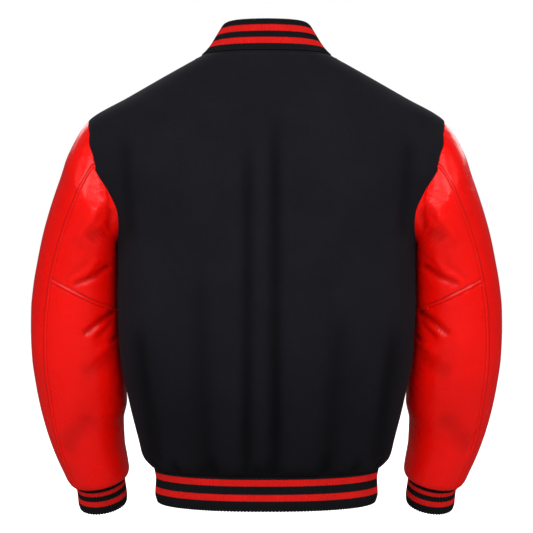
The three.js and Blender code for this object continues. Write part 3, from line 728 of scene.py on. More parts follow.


# %% [markdown]
# ## Felted wool
# Varsity wool is milled until its weave disappears under a short matt nap. So there is no weave
# here: the colour is near black with a little blue, mottled softly, the nap roughens it, and sheen
# lets the fibres catch light where the body rounds away. Each sheet also carries a mark of how deep
# in a fold each of its points lies and how near the hem, and there the colour is darkened: painted
# shade in the folds and on the lower body.


# %% The wool's finish
WOOL_BLACK = (0.0091, 0.0088, 0.0116, 1)
COOL_SHEEN = (0.72, 0.78, 1, 1)
# painted shade: the share by which the wool's colour is darkened in its folds and towards the hem
WOOL_PAINTED_SHADE = 0.5
# the fold depth at which the painted shade in a fold is full
DEEPEST_FOLD = 0.004


def painted_fold_shade(tree, darker):
    """Painted shade: the colour falls by this share where a sheet is marked as folded."""
    shade_marks = tree.nodes.new("ShaderNodeAttribute")
    shade_marks.attribute_name = "folded"
    return maths(tree, "MULTIPLY_ADD", shade_marks.outputs["Fac"], -darker, 1.0)


def wool_finish():
    material, tree, shader, coordinates = new_material("black felted wool")
    place = coordinates.outputs["Object"]
    nap = place_group(tree, NAP, place, Scale=1100.0)
    drift = place_group(tree, MOTTLING, place, Scale=14.0, Depth=0.5)
    # the last of these shades is painted shade in the folds and towards the hem
    shades = (nap.outputs["Shade"], drift.outputs["Shade"], painted_fold_shade(tree, WOOL_PAINTED_SHADE))
    colour = shaded_colour(tree, WOOL_BLACK, *shades)
    tree.links.new(colour, shader.inputs["Base Color"])
    set_inputs(shader, Roughness=0.95, Specular_IOR_Level=0.05)
    set_inputs(shader, Sheen_Weight=0.02, Sheen_Roughness=0.55, Sheen_Tint=COOL_SHEEN)
    bump(tree, shader, (nap.outputs["Height"], 0.5, 0.0006))
    return material


WOOL = wool_finish()

# %% [markdown]
# ## The back
# The back is one piece of wool from the neck to the waistband. Its edges are the side seams, the
# armholes and the shoulder seams. The grid's rows are level, and beside the armholes they crowd
# together where the seam turns, so that the oval stays round.

# %% The back panel
SEAM = 0.0003
BACK_COLUMNS = 171
EDGE_PULL = 0.45  # how strongly the columns are drawn towards the seams
# painted shade on the wool grows from this height down to the hem seam, where it reaches this share
PAINTED_SHADE_BELOW = -0.33
HEM_PAINTED_SHADE = 0.75
BELOW_ARMHOLE_ROWS = 96
ARMHOLE_ROWS = 64
ABOVE_ARMHOLE_ROWS = 30
ROW_HEIGHTS = np.concatenate(
    [
        np.linspace(HEM_SEAM, ARMHOLE_HEIGHT - ARMHOLE_HALF_HEIGHT, BELOW_ARMHOLE_ROWS, endpoint=False),
        ARMHOLE_HEIGHT + (ARMHOLE_HALF_HEIGHT + SEAM / 2) * np.cos(np.linspace(pi, 0, ARMHOLE_ROWS)),
        np.linspace(ARMHOLE_HEIGHT + ARMHOLE_HALF_HEIGHT, NECK_TOP, ABOVE_ARMHOLE_ROWS + 1)[1:],
    ]
)


def row_ends(depth):
    """The ring angle at which each row ends: at a side or shoulder seam, or at the armhole."""
    height = np.clip((ROW_HEIGHTS - ARMHOLE_HEIGHT) / (ARMHOLE_HALF_HEIGHT + SEAM / 2), -1, 1)
    y = (ARMHOLE_HALF_DEPTH + SEAM / 2) * np.sqrt(1 - height**2)
    return ring_angle(y, depth)


def crowded(count, pull):
    """Shares from 0 to 1, drawn towards both ends by pull, which is from 0 to 1."""
    share = np.linspace(0, 1, count)
    return share - pull * np.sin(2 * pi * share) / (2 * pi)


def painted_wool_shade(angle, z):
    """Painted shade of each point: 0 on the open cloth, more deep in the folds and towards the hem."""
    folds = np.clip(torso_dip(angle, smooth_torso(angle, z)) / DEEPEST_FOLD, 0, 1)
    # painted shade that grows towards the hem
    hem_shade = HEM_PAINTED_SHADE * eased((PAINTED_SHADE_BELOW - z) / (PAINTED_SHADE_BELOW - HEM_SEAM))
    return np.clip(folds + hem_shade, 0, 1.4)


def back_points():
    ends = row_ends(TORSO.back(ROW_HEIGHTS))[:, None]
    share = crowded(BACK_COLUMNS, EDGE_PULL)[None, :]
    angle = ends * (1 - 2 * share)
    height = ROW_HEIGHTS[:, None]
    points = torso_surface(angle, height)
    points[..., 1] += SEAM / 2
    return points, painted_wool_shade(angle, height)


back_grid, back_painted_shade = back_points()
back = cloth_sheet("back", back_grid, WOOL_THICKNESS, WOOL, back_painted_shade)
print("back faces:", len(back.data.polygons))

# %% [markdown]
# ## The fronts
# Each front runs from its side seam past the centre line, and its top edge dips to the front neck.
# The left front laps over the right one, so near the centre each is lifted off the shared surface,
# one outwards and one inwards.

# %% The front panels
FRONT_COLUMNS = 86
LAP = 0.018
LAP_LEVEL = 0.005
LAP_FADE = 0.034
LAP_GAP = 0.0007


def lap_lift(x, thickness):
    """How far a lapped edge lies off its piece's own surface, by its place from the centre line."""
    return (thickness + LAP_GAP) / 2 * (1 - eased((x - LAP - LAP_LEVEL) / LAP_FADE))


def front_points(side):
    """The front on side 1, the wearer's left, or -1. Its columns run from the centre outwards."""
    height = ROW_HEIGHTS[:, None]
    ends = row_ends(TORSO.front(ROW_HEIGHTS))[:, None]
    share = crowded(FRONT_COLUMNS, EDGE_PULL)[None, :]
    armpit = ARMHOLE_HEIGHT - ARMHOLE_HALF_HEIGHT
    raised = np.clip((height - armpit) / (NECK_TOP - armpit), 0, 1)
    roundness = 2 - 1.5 * raised**2
    lap = LAP * (1 - share) ** 2
    across_neck = np.sin(share * pi / 2) - lap / NECK_HALF_WIDTH
    x = TORSO.side(height) * np.sin(share * ends) - lap
    drop = raised * (NECK_TOP - FRONT_NECK) * np.maximum(0, 1 - across_neck**2) ** roundness
    z = height - drop
    angle = side * (pi - np.arcsin(np.clip(x / TORSO.side(z), -1, 1)))
    lift = side * lap_lift(x, WOOL_THICKNESS)
    points = torso_surface(angle, z) + torso_out(angle, z) * lift[..., None]
    points[..., 1] -= SEAM / 2
    shade_marks = painted_wool_shade(angle, z)
    return (points, shade_marks) if side > 0 else (points[:, ::-1], shade_marks[:, ::-1])


left_front_grid, left_front_painted_shade = front_points(1)
right_front_grid, right_front_painted_shade = front_points(-1)
cloth_sheet("left_front", left_front_grid, WOOL_THICKNESS, WOOL, left_front_painted_shade)
cloth_sheet("right_front", right_front_grid, WOOL_THICKNESS, WOOL, right_front_painted_shade)

# %% [markdown]
# ## Sleeve leather
# The sleeves are smooth finished cowhide in a clear red. Light shows it by its gloss: soft wide
# highlights, broken by a fine pebble grain and by shallow wrinkles. The grain is a Voronoi pattern
# of small cells, and the wrinkles are stretched noise. In the creases and along the stitch groove the
# red is darkened by painted shade.


# %% The leather's finish
LEATHER_RED = (0.86, 0.0030, 0.0010, 1)
# painted shade: the share by which the red is darkened in the creases and along the stitch groove
LEATHER_PAINTED_SHADE = 0.45
GRAIN_SCALE = 750
WRINKLE_SCALE = 34
WRINKLES_FLATTENED = (1, 1, 1.7)
LEAST_ROUGHNESS = 0.2
WORN_ROUGHER = 0.18


def leather_finish():
    material, tree, shader, coordinates = new_material("red sleeve leather")
    place = coordinates.outputs["Object"]
    drift = place_group(tree, MOTTLING, place, Scale=9.0, Depth=0.35)
    # painted shade in the creases and along the stitch groove
    painted_crease_shade = painted_fold_shade(tree, LEATHER_PAINTED_SHADE)
    colour = shaded_colour(tree, LEATHER_RED, drift.outputs["Shade"], painted_crease_shade)
    tree.links.new(colour, shader.inputs["Base Color"])
    cells = tree.nodes.new("ShaderNodeTexVoronoi")
    cells.feature = "SMOOTH_F1"
    set_inputs(cells, Scale=GRAIN_SCALE, Smoothness=0.6)
    tree.links.new(place, cells.inputs["Vector"])
    flattened = tree.nodes.new("ShaderNodeMapping")
    set_inputs(flattened, Scale=WRINKLES_FLATTENED)
    tree.links.new(place, flattened.inputs["Vector"])
    wrinkles = noise(tree, flattened.outputs["Vector"], WRINKLE_SCALE, 4, 0.5, 0.8)
    worn = noise(tree, place, 24, 3)
    roughness = maths(tree, "MULTIPLY_ADD", worn, WORN_ROUGHER, LEAST_ROUGHNESS)
    tree.links.new(roughness, shader.inputs["Roughness"])
    set_inputs(shader, Specular_IOR_Level=0.22)
    bump(tree, shader, (wrinkles, 0.35, 0.004), (cells.outputs["Distance"], 0.14, 0.0005))
    return material


LEATHER = leather_finish()

# %% [markdown]
# ## The sleeve pieces
# A sleeve is cut in three: a top sleeve over the arm, and an under sleeve that is divided by a
# seam across the elbow. One side of each visible seam is pressed over its allowance and stitched
# down, which leaves a raised welt a few millimetres wide and a shallow groove under the stitches.

# %% Welts and grids for the leather
WELT_HEIGHT = 0.0012
WELT_WIDTH = 0.0052
WELT_EDGE = 0.0014
STITCH_LINE = 0.0062
STITCH_GROOVE = 0.0009
GROOVE_WIDTH = 0.0008
# painted shade: its width along the stitch groove, and the crease depth at which it is full
STITCH_SHADE_WIDTH = 0.0010
DEEPEST_CREASE = 0.0045
SHORTEST_T = 0.0007  # the sleeve's edges stay this share of it away from the armhole and the cuff
ELBOW_GAP = 0.00035
UPPER_ROWS = 84
LOWER_ROWS = 108


def welt(distance):
    """The height of a stitched seam edge by the distance from the seam."""
    raised = eased(distance / WELT_EDGE) - eased((distance - WELT_WIDTH + WELT_EDGE) / WELT_EDGE)
    groove = np.exp(-(((distance - STITCH_LINE) / GROOVE_WIDTH) ** 2))
    return WELT_HEIGHT * raised - STITCH_GROOVE * groove


def sleeve_rows(first, last, elbow_t):
    """The share of the sleeve at each row from first to last, crossing the elbow seam at elbow_t."""
    upper = elbow_t * crowded(UPPER_ROWS + 1, 0.35)
    lower = elbow_t + (1 - elbow_t) * (1 - (1 - crowded(LOWER_ROWS + 1, 0.2)) ** 1.35)
    if first == 0 and last == 1:
        rows = np.concatenate([upper, lower[1:]])
    elif first == 0:
        rows = upper - ELBOW_GAP * np.linspace(0, 1, UPPER_ROWS + 1) ** 8
    else:
        rows = lower + ELBOW_GAP * np.linspace(1, 0, LOWER_ROWS + 1) ** 8
    return SHORTEST_T + rows * (1 - 2 * SHORTEST_T)


def sleeve_grid(from_seam, to_seam, columns, first, last, elbow_from, elbow_to):
    """(turn, t) of each point of a sleeve piece, rows from the cuff up."""
    share = crowded(columns, 0.6)
    rows = [sleeve_rows(first, last, elbow_from + (elbow_to - elbow_from) * s) for s in share]
    t = np.stack(rows, 1)[::-1]
    gap = SEAM / 2 / (0.8 * SLEEVE.depth(t))
    start = np.radians(from_seam(t)) + gap
    end = np.radians(to_seam(t)) - gap
    return start + (end - start) * share[None, :], t


def sleeve_piece(node, grid, welt_edge=None):
    """The left and the right piece of leather over a grid, with a welt along one edge or none."""
    turn, t = grid
    points = sleeve_surface(turn, t)
    # painted shade, strongest in the creases' troughs
    shade_marks = np.clip(sleeve_dip(turn, t) / DEEPEST_CREASE, 0, 1)
    if welt_edge is not None:
        distance = edge_distance(points, welt_edge)
        points = points + sleeve_out(turn, t) * welt(distance)[..., None]
        # painted shade along the stitch groove
        shade_marks = np.maximum(shade_marks, np.exp(-(((distance - STITCH_LINE) / STITCH_SHADE_WIDTH) ** 2)))
    cloth_sheet("left_" + node, points, LEATHER_THICKNESS, LEATHER, shade_marks)
    mirrored = points[:, ::-1] * np.array([-1, 1, 1])
    cloth_sheet("right_" + node, mirrored, LEATHER_THICKNESS, LEATHER, shade_marks[:, ::-1])
    return points


def edge_distance(points, edge):
    """The distance over the leather from the last column, or from the first row."""
    if edge == "last column":
        along = lengths_along(points, 1)
        return along[:, -1:] - along
    return lengths_along(points, 0)


# %% The three pieces of each sleeve
TOP_COLUMNS = 84
UNDER_COLUMNS = 64


def front_seam_before(t):
    return LONG_SEAMS.front(t) - 360


def under_grid(first, last):
    """The grid of an under sleeve piece, above or below the elbow seam."""
    seams = (LONG_SEAMS.back, LONG_SEAMS.front)
    return sleeve_grid(*seams, UNDER_COLUMNS, first, last, ELBOW_SEAM_BACK, ELBOW_SEAM_FRONT)


TOP_SEAMS = (front_seam_before, LONG_SEAMS.back)
TOP_GRID = sleeve_grid(*TOP_SEAMS, TOP_COLUMNS, 0, 1, ELBOW_SEAM_FRONT, ELBOW_SEAM_BACK)
top_points = sleeve_piece("top_sleeve", TOP_GRID, "last column")
upper_points = sleeve_piece("upper_under_sleeve", under_grid(0, 0.5), "first row")
sleeve_piece("lower_under_sleeve", under_grid(0.5, 1))

# %% [markdown]
# ## Ribbed knit
# The trims are strips of rib knit folded double: the fold is the free edge and both raw edges are
# sewn into the seam. So a trim's cross section is a long hairpin. It is worked out as one closed
# path, out along the outside, round the fold and back inside, and every other wale stands
# proud. The ribs run round the fold with it, as they do in real knit.

# %% Making a rib knit piece
KNIT_THICKNESS = 0.003
RIB_PITCH = 0.0046
RIB_HEIGHT = 0.0011
COLUMNS_PER_RIB = 6
FOLD_STEPS = 5


def hairpin(height, rows):
    """The path of a folded strip: (share of the height, depth inwards, turn of the way out)."""
    radius = KNIT_THICKNESS / 2
    straight = 1 - radius / height
    outside = [(s, 0.0, 0.0) for s in np.linspace(0, straight, rows)]
    turns = np.linspace(0, pi, FOLD_STEPS + 2)[1:-1]
    fold = [(straight + radius / height * np.sin(a), radius * (1 - np.cos(a)), a) for a in turns]
    inside = [(s, 2 * radius, pi) for s in np.linspace(straight, 0, rows // 2)]
    return np.array(outside + fold + inside)


def knit_piece(node, surface, out, along, girth, height, rows, closed, material):
    """A folded strip of rib knit. surface and out take (place along, share of the height)."""
    ribs = round(girth / RIB_PITCH)
    u = np.linspace(0, 1, ribs * COLUMNS_PER_RIB + 1)
    path = hairpin(height, rows)
    share = path[:, 0][:, None]
    place = along(u)[None, :]
    base = surface(place, share)
    normal = out(place, share)
    upward = surface(place, share + 0.01) - surface(place, share - 0.01)
    upward /= np.linalg.norm(upward, axis=-1, keepdims=True)
    turn = path[:, 2][:, None, None]
    way_out = normal * np.cos(turn) + upward * np.sin(turn)
    wale = 0.5 - 0.5 * np.cos(2 * pi * ribs * u)
    ridge = RIB_HEIGHT * wale[None, :, None] ** 0.8
    inner_ridge = np.where(path[:, 2] > 3, 0.35, 1.0)[:, None, None]
    points = base - normal * path[:, 1][:, None, None] + way_out * ridge * inner_ridge
    middle_column = points[:, points.shape[1] // (4 if closed else 2)]
    run = lengths_along(middle_column[:, None], 0)[:, 0]
    points = np.concatenate([points, points[:1]], 0)
    uv_v = np.concatenate([run, run[-1:] + KNIT_THICKNESS])
    piece = grid_piece(node + "_knit", points)
    vertex_uv = np.stack(np.broadcast_arrays(u[None, :] * girth, uv_v[:, None]), -1).reshape(-1, 2)
    corners = np.empty(len(piece.data.loops), dtype=int)
    piece.data.loops.foreach_get("vertex_index", corners)
    piece.data.uv_layers.active.data.foreach_set("uv", vertex_uv[corners].astype(np.float32).ravel())
    bpy.ops.object.mode_set(mode="EDIT")
    bpy.ops.mesh.select_all(action="SELECT")
    bpy.ops.mesh.remove_doubles(threshold=0.00001)
    if not closed:
        bpy.ops.mesh.select_all(action="DESELECT")
        bpy.ops.mesh.select_non_manifold(extend=False)
        bpy.ops.mesh.fill_holes(sides=0)
    bpy.ops.mesh.select_all(action="SELECT")
    bpy.ops.mesh.normals_make_consistent(inside=False)
    bpy.ops.object.mode_set(mode="OBJECT")
    bpy.ops.object.shade_smooth_by_angle(angle=radians(70))
    add_to_jacket(piece, node, material)
    print(node, "ribs", ribs, "strip", round(girth, 3), "by", round(2 * height, 3))


# %% [markdown]
# ## The knit's finish
# The knit is black with two red stripes on the outside of each trim. The yarn changes colour at a
# whole row of stitches, so the stripes come from the distance from the seam, and a small wave on
# it follows the V of each stitch. The stitches themselves are too fine to model: a group draws
# them as bump.


# %% Knit stitches and stripes
STITCH_WIDTH = RIB_PITCH / 2
STITCH_HEIGHT = 0.0021


def stitches_group():
    """Columns of V shaped stitches over a piece's own UV map, in metres."""
    group, ins, outs = new_group(
        "knit stitches",
        [("Vector", "NodeSocketVector", None)],
        [("Height", "NodeSocketFloat"), ("Slant", "NodeSocketFloat")],
    )
    parts = group.nodes.new("ShaderNodeSeparateXYZ")
    group.links.new(ins.outputs["Vector"], parts.inputs["Vector"])
    columns = maths(group, "MULTIPLY", parts.outputs["X"], 1 / STITCH_WIDTH)
    side = maths(group, "PINGPONG", columns, 0.5)
    slant = maths(group, "MULTIPLY", side, STITCH_HEIGHT)
    rows = maths(group, "DIVIDE", maths(group, "ADD", parts.outputs["Y"], slant), STITCH_HEIGHT)
    row_wave = maths(group, "SINE", maths(group, "MULTIPLY", rows, 2 * pi))
    column_wave = maths(group, "COSINE", maths(group, "MULTIPLY", columns, 4 * pi))
    wave = maths(group, "ADD", row_wave, maths(group, "MULTIPLY", column_wave, -0.6))
    group.links.new(wave, outs.inputs["Height"])
    group.links.new(slant, outs.inputs["Slant"])
    return group


STITCHES = stitches_group()
BLACK_YARN = (0.0045, 0.0048, 0.0065, 1)
RED_YARN = (0.66, 0.008, 0.006, 1)


def knit_finish(name, stripes):
    """Black rib knit with red stripes, each (start, end) in metres from the seam."""
    material, tree, shader, coordinates = new_material(name)
    place = coordinates.outputs["UV"]
    knit = place_group(tree, STITCHES, place)
    parts = tree.nodes.new("ShaderNodeSeparateXYZ")
    tree.links.new(place, parts.inputs["Vector"])
    run = maths(tree, "ADD", parts.outputs["Y"], knit.outputs["Slant"])
    masks = []
    for start, end in stripes:
        above = maths(tree, "GREATER_THAN", run, start)
        below = maths(tree, "LESS_THAN", run, end)
        masks.append(maths(tree, "MULTIPLY", above, below))
    red = maths(tree, "ADD", masks[0], masks[1])
    yarn = tree.nodes.new("ShaderNodeMix")
    yarn.data_type = "RGBA"
    set_inputs(yarn, A=BLACK_YARN, B=RED_YARN)
    tree.links.new(red, yarn.inputs["Factor"])
    nap = place_group(tree, NAP, coordinates.outputs["Object"], Scale=1600.0)
    drift = place_group(tree, MOTTLING, coordinates.outputs["Object"], Scale=30.0, Depth=0.4)
    colour = shaded_colour(tree, yarn.outputs["Result"], nap.outputs["Shade"], drift.outputs["Shade"])
    tree.links.new(colour, shader.inputs["Base Color"])
    set_inputs(shader, Roughness=0.9, Specular_IOR_Level=0.12)
    set_inputs(shader, Sheen_Weight=0.02, Sheen_Roughness=0.5)
    bump(tree, shader, (knit.outputs["Height"], 0.5, 0.0003), (nap.outputs["Height"], 0.4, 0.0004))
    return material


# %% [markdown]
# ## The waistband
# The waistband draws the wool in to the hips. It is one strip round the body whose ends lap at the
# centre front as the wool does, the left one outside.

# %% The waistband's knit
HEM_END = -0.652
BAND = table(
    "z side back front",
    (-0.652, 0.1605, 0.119, 0.115),
    (-0.640, 0.1635, 0.1215, 0.1175),
    (-0.618, 0.1625, 0.1205, 0.1165),
    (-0.603, 0.165, 0.1215, 0.1175),
)
BAND_END = pi + np.arcsin(LAP / BAND.side(HEM_END))
BAND_TOP = HEM_SEAM - SEAM
BAND_HEIGHT = BAND_TOP - HEM_END
BAND_ROWS = 20


def band_ring(angle, share):
    return ring_point(BAND, angle, BAND_TOP - BAND_HEIGHT * np.asarray(share))


def band_out(angle, share):
    out = outward(band_ring, angle, share, 0.01, 0.01)
    out[..., 2] = 0
    return out / np.linalg.norm(out, axis=-1, keepdims=True)


def band_surface(angle, share):
    side = np.where(angle > 0, 1, -1)
    base = band_ring(angle, share)
    lift = side * lap_lift(side * base[..., 0], KNIT_THICKNESS + RIB_HEIGHT)
    lift = np.where(np.cos(angle) > 0, 0, lift)
    return base + band_out(angle, share) * lift[..., None]


def length_round(surface, along, share):
    """The length of a strip's line at this share of its height."""
    return float(lengths_along(surface(along(np.linspace(0, 1, 400)), share), 0)[-1])


def band_along(u):
    return BAND_END * (2 * u - 1)


knit_piece(
    "waistband",
    band_surface,
    band_out,
    band_along,
    length_round(band_surface, band_along, 0.5),
    BAND_HEIGHT,
    BAND_ROWS,
    False,
    knit_finish("waistband rib knit", [(0.0041, 0.0133), (0.0253, 0.0344)]),
)

# %% [markdown]
# ## The cuffs
# A cuff is a knit tube that closes round the wrist and hangs a little to the front. It is closed
# all round, so its first and last columns are merged.


# %% The cuffs' knit
def cuff_ring(turn, share):
    return tilted_ring(CUFF, turn, np.clip(share, 0, 1.02))


def cuff_out(turn, share):
    return outward(cuff_ring, turn, np.clip(share, 0.02, 0.98), 0.02, -0.02)


def mirrored_to_right(function):
    """The same function of a piece's places on the wearer's right."""
    return lambda a, b: function(a, b) * np.array([-1, 1, 1])


def round_wrist(u):
    return 2 * pi * u


CUFF_ROWS = 18
CUFF_HEIGHT = float(lengths_along(cuff_ring(pi / 2, np.linspace(0, 1, 60)), 0)[-1])
CUFF_GIRTH = length_round(cuff_ring, round_wrist, 0.5)
CUFF_KNIT = knit_finish("cuff rib knit", [(0.0098, 0.0164), (0.0252, 0.0338)])
CUFF_SHAPES = {
    "left_cuff": (cuff_ring, cuff_out),
    "right_cuff": (mirrored_to_right(cuff_ring), mirrored_to_right(cuff_out)),
}
for node, (surface, out) in CUFF_SHAPES.items():
    knit_piece(node, surface, out, round_wrist, CUFF_GIRTH, CUFF_HEIGHT, CUFF_ROWS, True, CUFF_KNIT)

# %% [markdown]
# ## The collar
# The collar stands round the neck and leans in. Its seam is level round the back and dips in an
# ellipse to the front neck, and its rim slopes down forwards. The ends meet at the centre front
# with their corners rounded off.

# %% The collar's knit
RIM_HALF_WIDTH = 0.0655
RIM_BACK = 0.059
RIM_FRONT = 0.084
RIM_BACK_HEIGHT = 0.0535
RIM_FRONT_HEIGHT = -0.036
COLLAR_STAND = 0.0015
COLLAR_END = radians(178)
COLLAR_CORNER = radians(14)
COLLAR_END_HEIGHT = 0.55
COLLAR_HOLLOW = 0.027
COLLAR_ROWS = 22


def neck_seam(angle):
    """The neck's seam: level round the back, and a half ellipse in front."""
    behind = np.cos(angle) >= 0
    z = NECK_TOP + (NECK_TOP - FRONT_NECK) * np.minimum(0, np.cos(angle))
    across = np.arcsin(NECK_HALF_WIDTH * np.abs(np.sin(angle)) / TORSO.side(z))
    ring = np.where(behind, angle, np.sign(angle) * (pi - across))
    return smooth_torso(ring, z)


def collar_rim(angle):
    depth = np.where(np.cos(angle) >= 0, RIM_BACK, RIM_FRONT)
    z = RIM_BACK_HEIGHT - (RIM_BACK_HEIGHT - RIM_FRONT_HEIGHT) * ((1 - np.cos(angle)) / 2) ** 3
    return np.stack([RIM_HALF_WIDTH * np.sin(angle), depth * np.cos(angle), z], -1)


def collar_surface(angle, share):
    """The collar's outside by angle round the neck and share of its height."""
    angle, share = np.broadcast_arrays(np.asarray(angle, float), np.asarray(share, float))
    rim = collar_rim(angle)
    seam = neck_seam(angle)
    rise = rim - seam
    seam = seam + rise / np.linalg.norm(rise, axis=-1, keepdims=True) * COLLAR_STAND
    corner = np.clip((np.abs(angle) - COLLAR_END + COLLAR_CORNER) / COLLAR_CORNER, 0, 1)
    height = COLLAR_END_HEIGHT + (1 - COLLAR_END_HEIGHT) * np.sqrt(1 - corner**2)
    point = seam + (rim - seam) * (share * height)[..., None]
    hollow = COLLAR_HOLLOW * eased(1 + np.cos(angle))
    waist = 1 - hollow * 6.75 * share * (1 - np.clip(share, 0, 1)) ** 2
    return point * np.stack([waist, waist, np.ones_like(waist)], -1)


def collar_out(angle, share):
    return outward(collar_surface, angle, share, -0.01, 0.02)


def collar_along(u):
    return COLLAR_END * (2 * u - 1)


COLLAR_HEIGHT = float(np.linalg.norm(collar_rim(0.0) - neck_seam(0.0)) - COLLAR_STAND)
knit_piece(
    "collar",
    collar_surface,
    collar_out,
    collar_along,
    length_round(collar_surface, collar_along, 0.4),
    COLLAR_HEIGHT,
    COLLAR_ROWS,
    False,
    knit_finish("collar rib knit", [(0.0115, 0.0215), (0.0315, 0.0415)]),
)

# %% [markdown]
# ## Stitches
# Each seam that shows is topstitched. A stitch is a short thread that dives into the cloth at both
# ends, so one small spindle is modelled and copied along the seam, a few millimetres from its
# edge. All the copies of one thread are one mesh.

# %% Rows of stitches
STITCH_PITCH = 0.0034
STITCH_LENGTH = 0.0027
THREAD_RADIUS = 0.00032


def one_stitch():
    """The corners and faces of a single stitch lying along +X with its top to +Z."""
    bpy.ops.object.select_all(action="DESELECT")
    bpy.ops.mesh.primitive_uv_sphere_add(segments=6, ring_count=4, radius=1)
    stitch = bpy.context.object
    corners = np.array([vertex.co for vertex in stitch.data.vertices])
    faces = [tuple(face.vertices) for face in stitch.data.polygons]
    bpy.ops.object.delete()
    shape = np.array([THREAD_RADIUS, THREAD_RADIUS, STITCH_LENGTH / 2])
    return (corners * shape)[:, [2, 1, 0]] * np.array([1, 1, -1]), faces


def stitch_places(line, outs):
    """Where the stitches of a line go: middles, ways along and ways out."""
    run = lengths_along(line, 0)
    stops = np.arange(STITCH_PITCH, run[-1] - STITCH_PITCH, STITCH_PITCH)
    middle = np.stack([np.interp(stops, run, line[:, k]) for k in range(3)], -1)
    ahead = np.stack([np.interp(stops + 0.001, run, line[:, k]) for k in range(3)], -1)
    out = np.stack([np.interp(stops, run, outs[:, k]) for k in range(3)], -1)
    along = ahead - middle
    along /= np.linalg.norm(along, axis=-1, keepdims=True)
    out -= along * (out * along).sum(-1, keepdims=True)
    return middle, along, out / np.linalg.norm(out, axis=-1, keepdims=True)


def stitching(name, lines, material):
    """One mesh with a row of stitches on each line, given as (points, ways out)."""
    corners, faces = one_stitch()
    all_corners = []
    all_faces = []
    for line, outs in lines:
        for middle, along, out in zip(*stitch_places(line, outs)):
            turned = corners @ np.array([along, np.cross(out, along), out])
            first = len(all_corners) * len(corners)
            all_corners.append(middle + out * THREAD_RADIUS * 0.35 + turned)
            all_faces += [tuple(first + i for i in face) for face in faces]
    mesh = bpy.data.meshes.new(name)
    mesh.from_pydata(np.concatenate(all_corners).tolist(), [], all_faces)
    piece = bpy.data.objects.new(name, mesh)
    bpy.context.scene.collection.objects.link(piece)
    bpy.ops.object.select_all(action="DESELECT")
    piece.select_set(True)
    bpy.context.view_layer.objects.active = piece
    bpy.ops.object.mode_set(mode="EDIT")
    bpy.ops.mesh.select_all(action="SELECT")
    bpy.ops.mesh.normals_make_consistent(inside=False)
    bpy.ops.object.mode_set(mode="OBJECT")
    bpy.ops.object.shade_smooth()
    mesh.materials.append(material)
    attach(piece, "root")
    print(name, "stitches", len(all_corners))


def thread_finish(name, colour):
    material, tree, shader, coordinates = new_material(name)
    twist = noise(tree, coordinates.outputs["Object"], 2600, 2)
    drift = place_group(tree, MOTTLING, coordinates.outputs["Object"], Scale=60.0, Depth=0.5)
    tree.links.new(shaded_colour(tree, colour, drift.outputs["Shade"]), shader.inputs["Base Color"])
    set_inputs(shader, Roughness=0.6)
    bump(tree, shader, (twist, 0.4, 0.0002))
    return material


RED_THREAD = thread_finish("red thread", (0.55, 0.010, 0.008, 1))
BLACK_THREAD = thread_finish("black thread", (0.012, 0.013, 0.018, 1))


# %% [markdown]
# On the leather the stitches follow the back seam down the whole sleeve and run above the elbow
# seam. The line is found on the finished piece: in each row or column it is the point at the right
# distance from the seam.


# %% The leather's topstitching
def line_at(points, distance, target, axis):
    """The line over a grid at this distance from an edge, and the ways out along it."""
    across = np.cross(np.gradient(points, axis=1), np.gradient(points, axis=0))
    across /= np.linalg.norm(across, axis=-1, keepdims=True)
    if axis == 0:
        points, distance, across = (np.swapaxes(x, 0, 1) for x in (points, distance, across))
    line = []
    outs = []
    for row, away, out in zip(points, distance, across):
        order = np.argsort(away)
        line.append([np.interp(target, away[order], row[order, k]) for k in range(3)])
        outs.append([np.interp(target, away[order], out[order, k]) for k in range(3)])
    return np.array(line), np.array(outs)


def both_sides(line, outs):
    flip = np.array([-1, 1, 1])
    return {"left": (line, outs), "right": (line * flip, outs * flip)}


seam_lines = [
    both_sides(*line_at(top_points, edge_distance(top_points, "last column"), STITCH_LINE, 1)),
    both_sides(*line_at(upper_points, edge_distance(upper_points, "first row"), STITCH_LINE, 0)),
]
for side in ("left", "right"):
    lines = [line[side] for line in seam_lines]
    stitching(side + "_sleeve_stitches", lines, RED_THREAD)

# %% [markdown]
# On the wool a row of black stitches holds the neck seam down below the collar, and another runs
# up the left front's edge, where the snaps are.

# %% The wool's topstitching
NECK_STITCHES_DOWN = 0.005
EDGE_STITCHES_IN = 0.007


def neck_line():
    """The row under the collar, from shoulder seam to shoulder seam round the back."""
    angle = np.linspace(-pi / 2 + 0.02, pi / 2 - 0.02, 240)
    z = np.full_like(angle, NECK_TOP - NECK_STITCHES_DOWN)
    line = torso_surface(angle, z)
    line[:, 1] += SEAM / 2
    return line, torso_out(angle, z)


def front_edge_line():
    """The row beside the left front's edge, from the waistband to the neck."""
    return line_at(left_front_grid, lengths_along(left_front_grid, 1), EDGE_STITCHES_IN, 1)


stitching("wool_stitches", [neck_line(), front_edge_line()], BLACK_THREAD)

# %% [markdown]
# ## The snaps
# Seven snaps close the front. The cap of each is a low enamelled dome in a rolled rim. One is
# turned from a cylinder: its top is inset, sunk and raised again, its edges are rounded, and each
# copy is set on the cloth where the frame has its snap.


# %% Snap caps
SNAP_RADIUS = 0.0076
SNAP_HEIGHT = 0.0026
SNAP_RIM = 0.0012
SNAP_STEP = 0.0005
SNAP_SUNK = 0.0009
SNAP_DOME = ((0.0022, 0.0005), (0.0022, 0.0003))  # each ring's width and rise


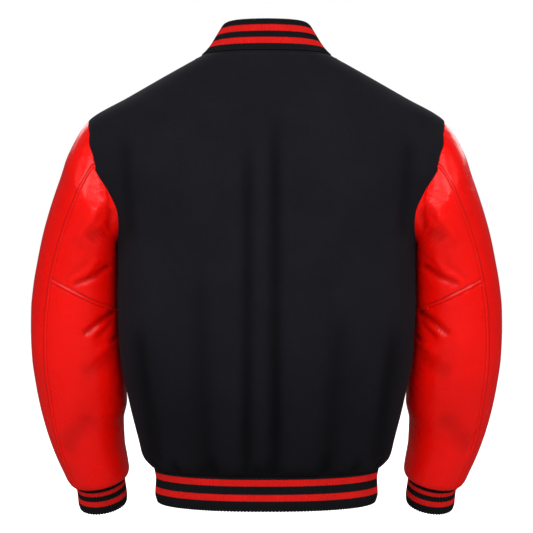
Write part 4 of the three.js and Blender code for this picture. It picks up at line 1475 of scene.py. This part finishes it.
def snap_finish():
    material, tree, shader, coordinates = new_material("black enamel")
    drift = place_group(tree, MOTTLING, coordinates.outputs["Object"], Scale=200.0, Depth=0.3)
    colour = shaded_colour(tree, (0.014, 0.014, 0.016, 1), drift.outputs["Shade"])
    tree.links.new(colour, shader.inputs["Base Color"])
    scuffs = noise(tree, coordinates.outputs["Object"], 500, 5)
    tree.links.new(maths(tree, "MULTIPLY_ADD", scuffs, 0.2, 0.16), shader.inputs["Roughness"])
    set_inputs(shader, Coat_Weight=0.4)
    bump(tree, shader, (scuffs, 0.05, 0.0002))
    return material


def face_centre_z(face):
    return face.center.z


def snap_cap(name, node, out):
    """One cap on its node's place, facing that way."""
    low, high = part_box(node)
    middle = (Vector(low) + Vector(high)) / 2
    bpy.ops.object.select_all(action="DESELECT")
    bpy.ops.mesh.primitive_cylinder_add(vertices=40, radius=SNAP_RADIUS, depth=SNAP_HEIGHT)
    cap = bpy.context.object
    cap.name = name
    cap.data.name = name
    top = max(cap.data.polygons, key=face_centre_z).index
    bpy.ops.object.mode_set(mode="EDIT")
    bpy.ops.mesh.select_all(action="DESELECT")
    bpy.ops.object.mode_set(mode="OBJECT")
    cap.data.polygons[top].select = True
    bpy.ops.object.mode_set(mode="EDIT")
    bpy.ops.mesh.inset(thickness=SNAP_RIM)
    bpy.ops.mesh.inset(thickness=SNAP_STEP)
    bpy.ops.transform.translate(value=(0, 0, -SNAP_SUNK))
    for inset, rise in SNAP_DOME:
        bpy.ops.mesh.inset(thickness=inset)
        bpy.ops.transform.translate(value=(0, 0, rise))
    bpy.ops.object.mode_set(mode="OBJECT")
    finish_with(cap, "BEVEL", width=0.00035, segments=2, limit_method="ANGLE", angle_limit=radians(35))
    bpy.ops.object.shade_smooth_by_angle(angle=radians(50))
    cap.rotation_euler = Vector(out).to_track_quat("Z", "Y").to_euler()
    cap.location = middle
    bpy.ops.object.transform_apply(location=True, rotation=True)
    add_to_jacket(cap, node, ENAMEL)


ENAMEL = snap_finish()
for i in range(1, 8):
    node = "snap_" + str(i)
    height = (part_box(node)[0][2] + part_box(node)[1][2]) / 2
    facing = torso_out(np.array(pi), np.array(max(height, HEM_SEAM + 0.02)))
    if height < HEM_SEAM:
        facing = np.array([0, -1, 0])
    snap_cap(node + "_cap", node, facing)
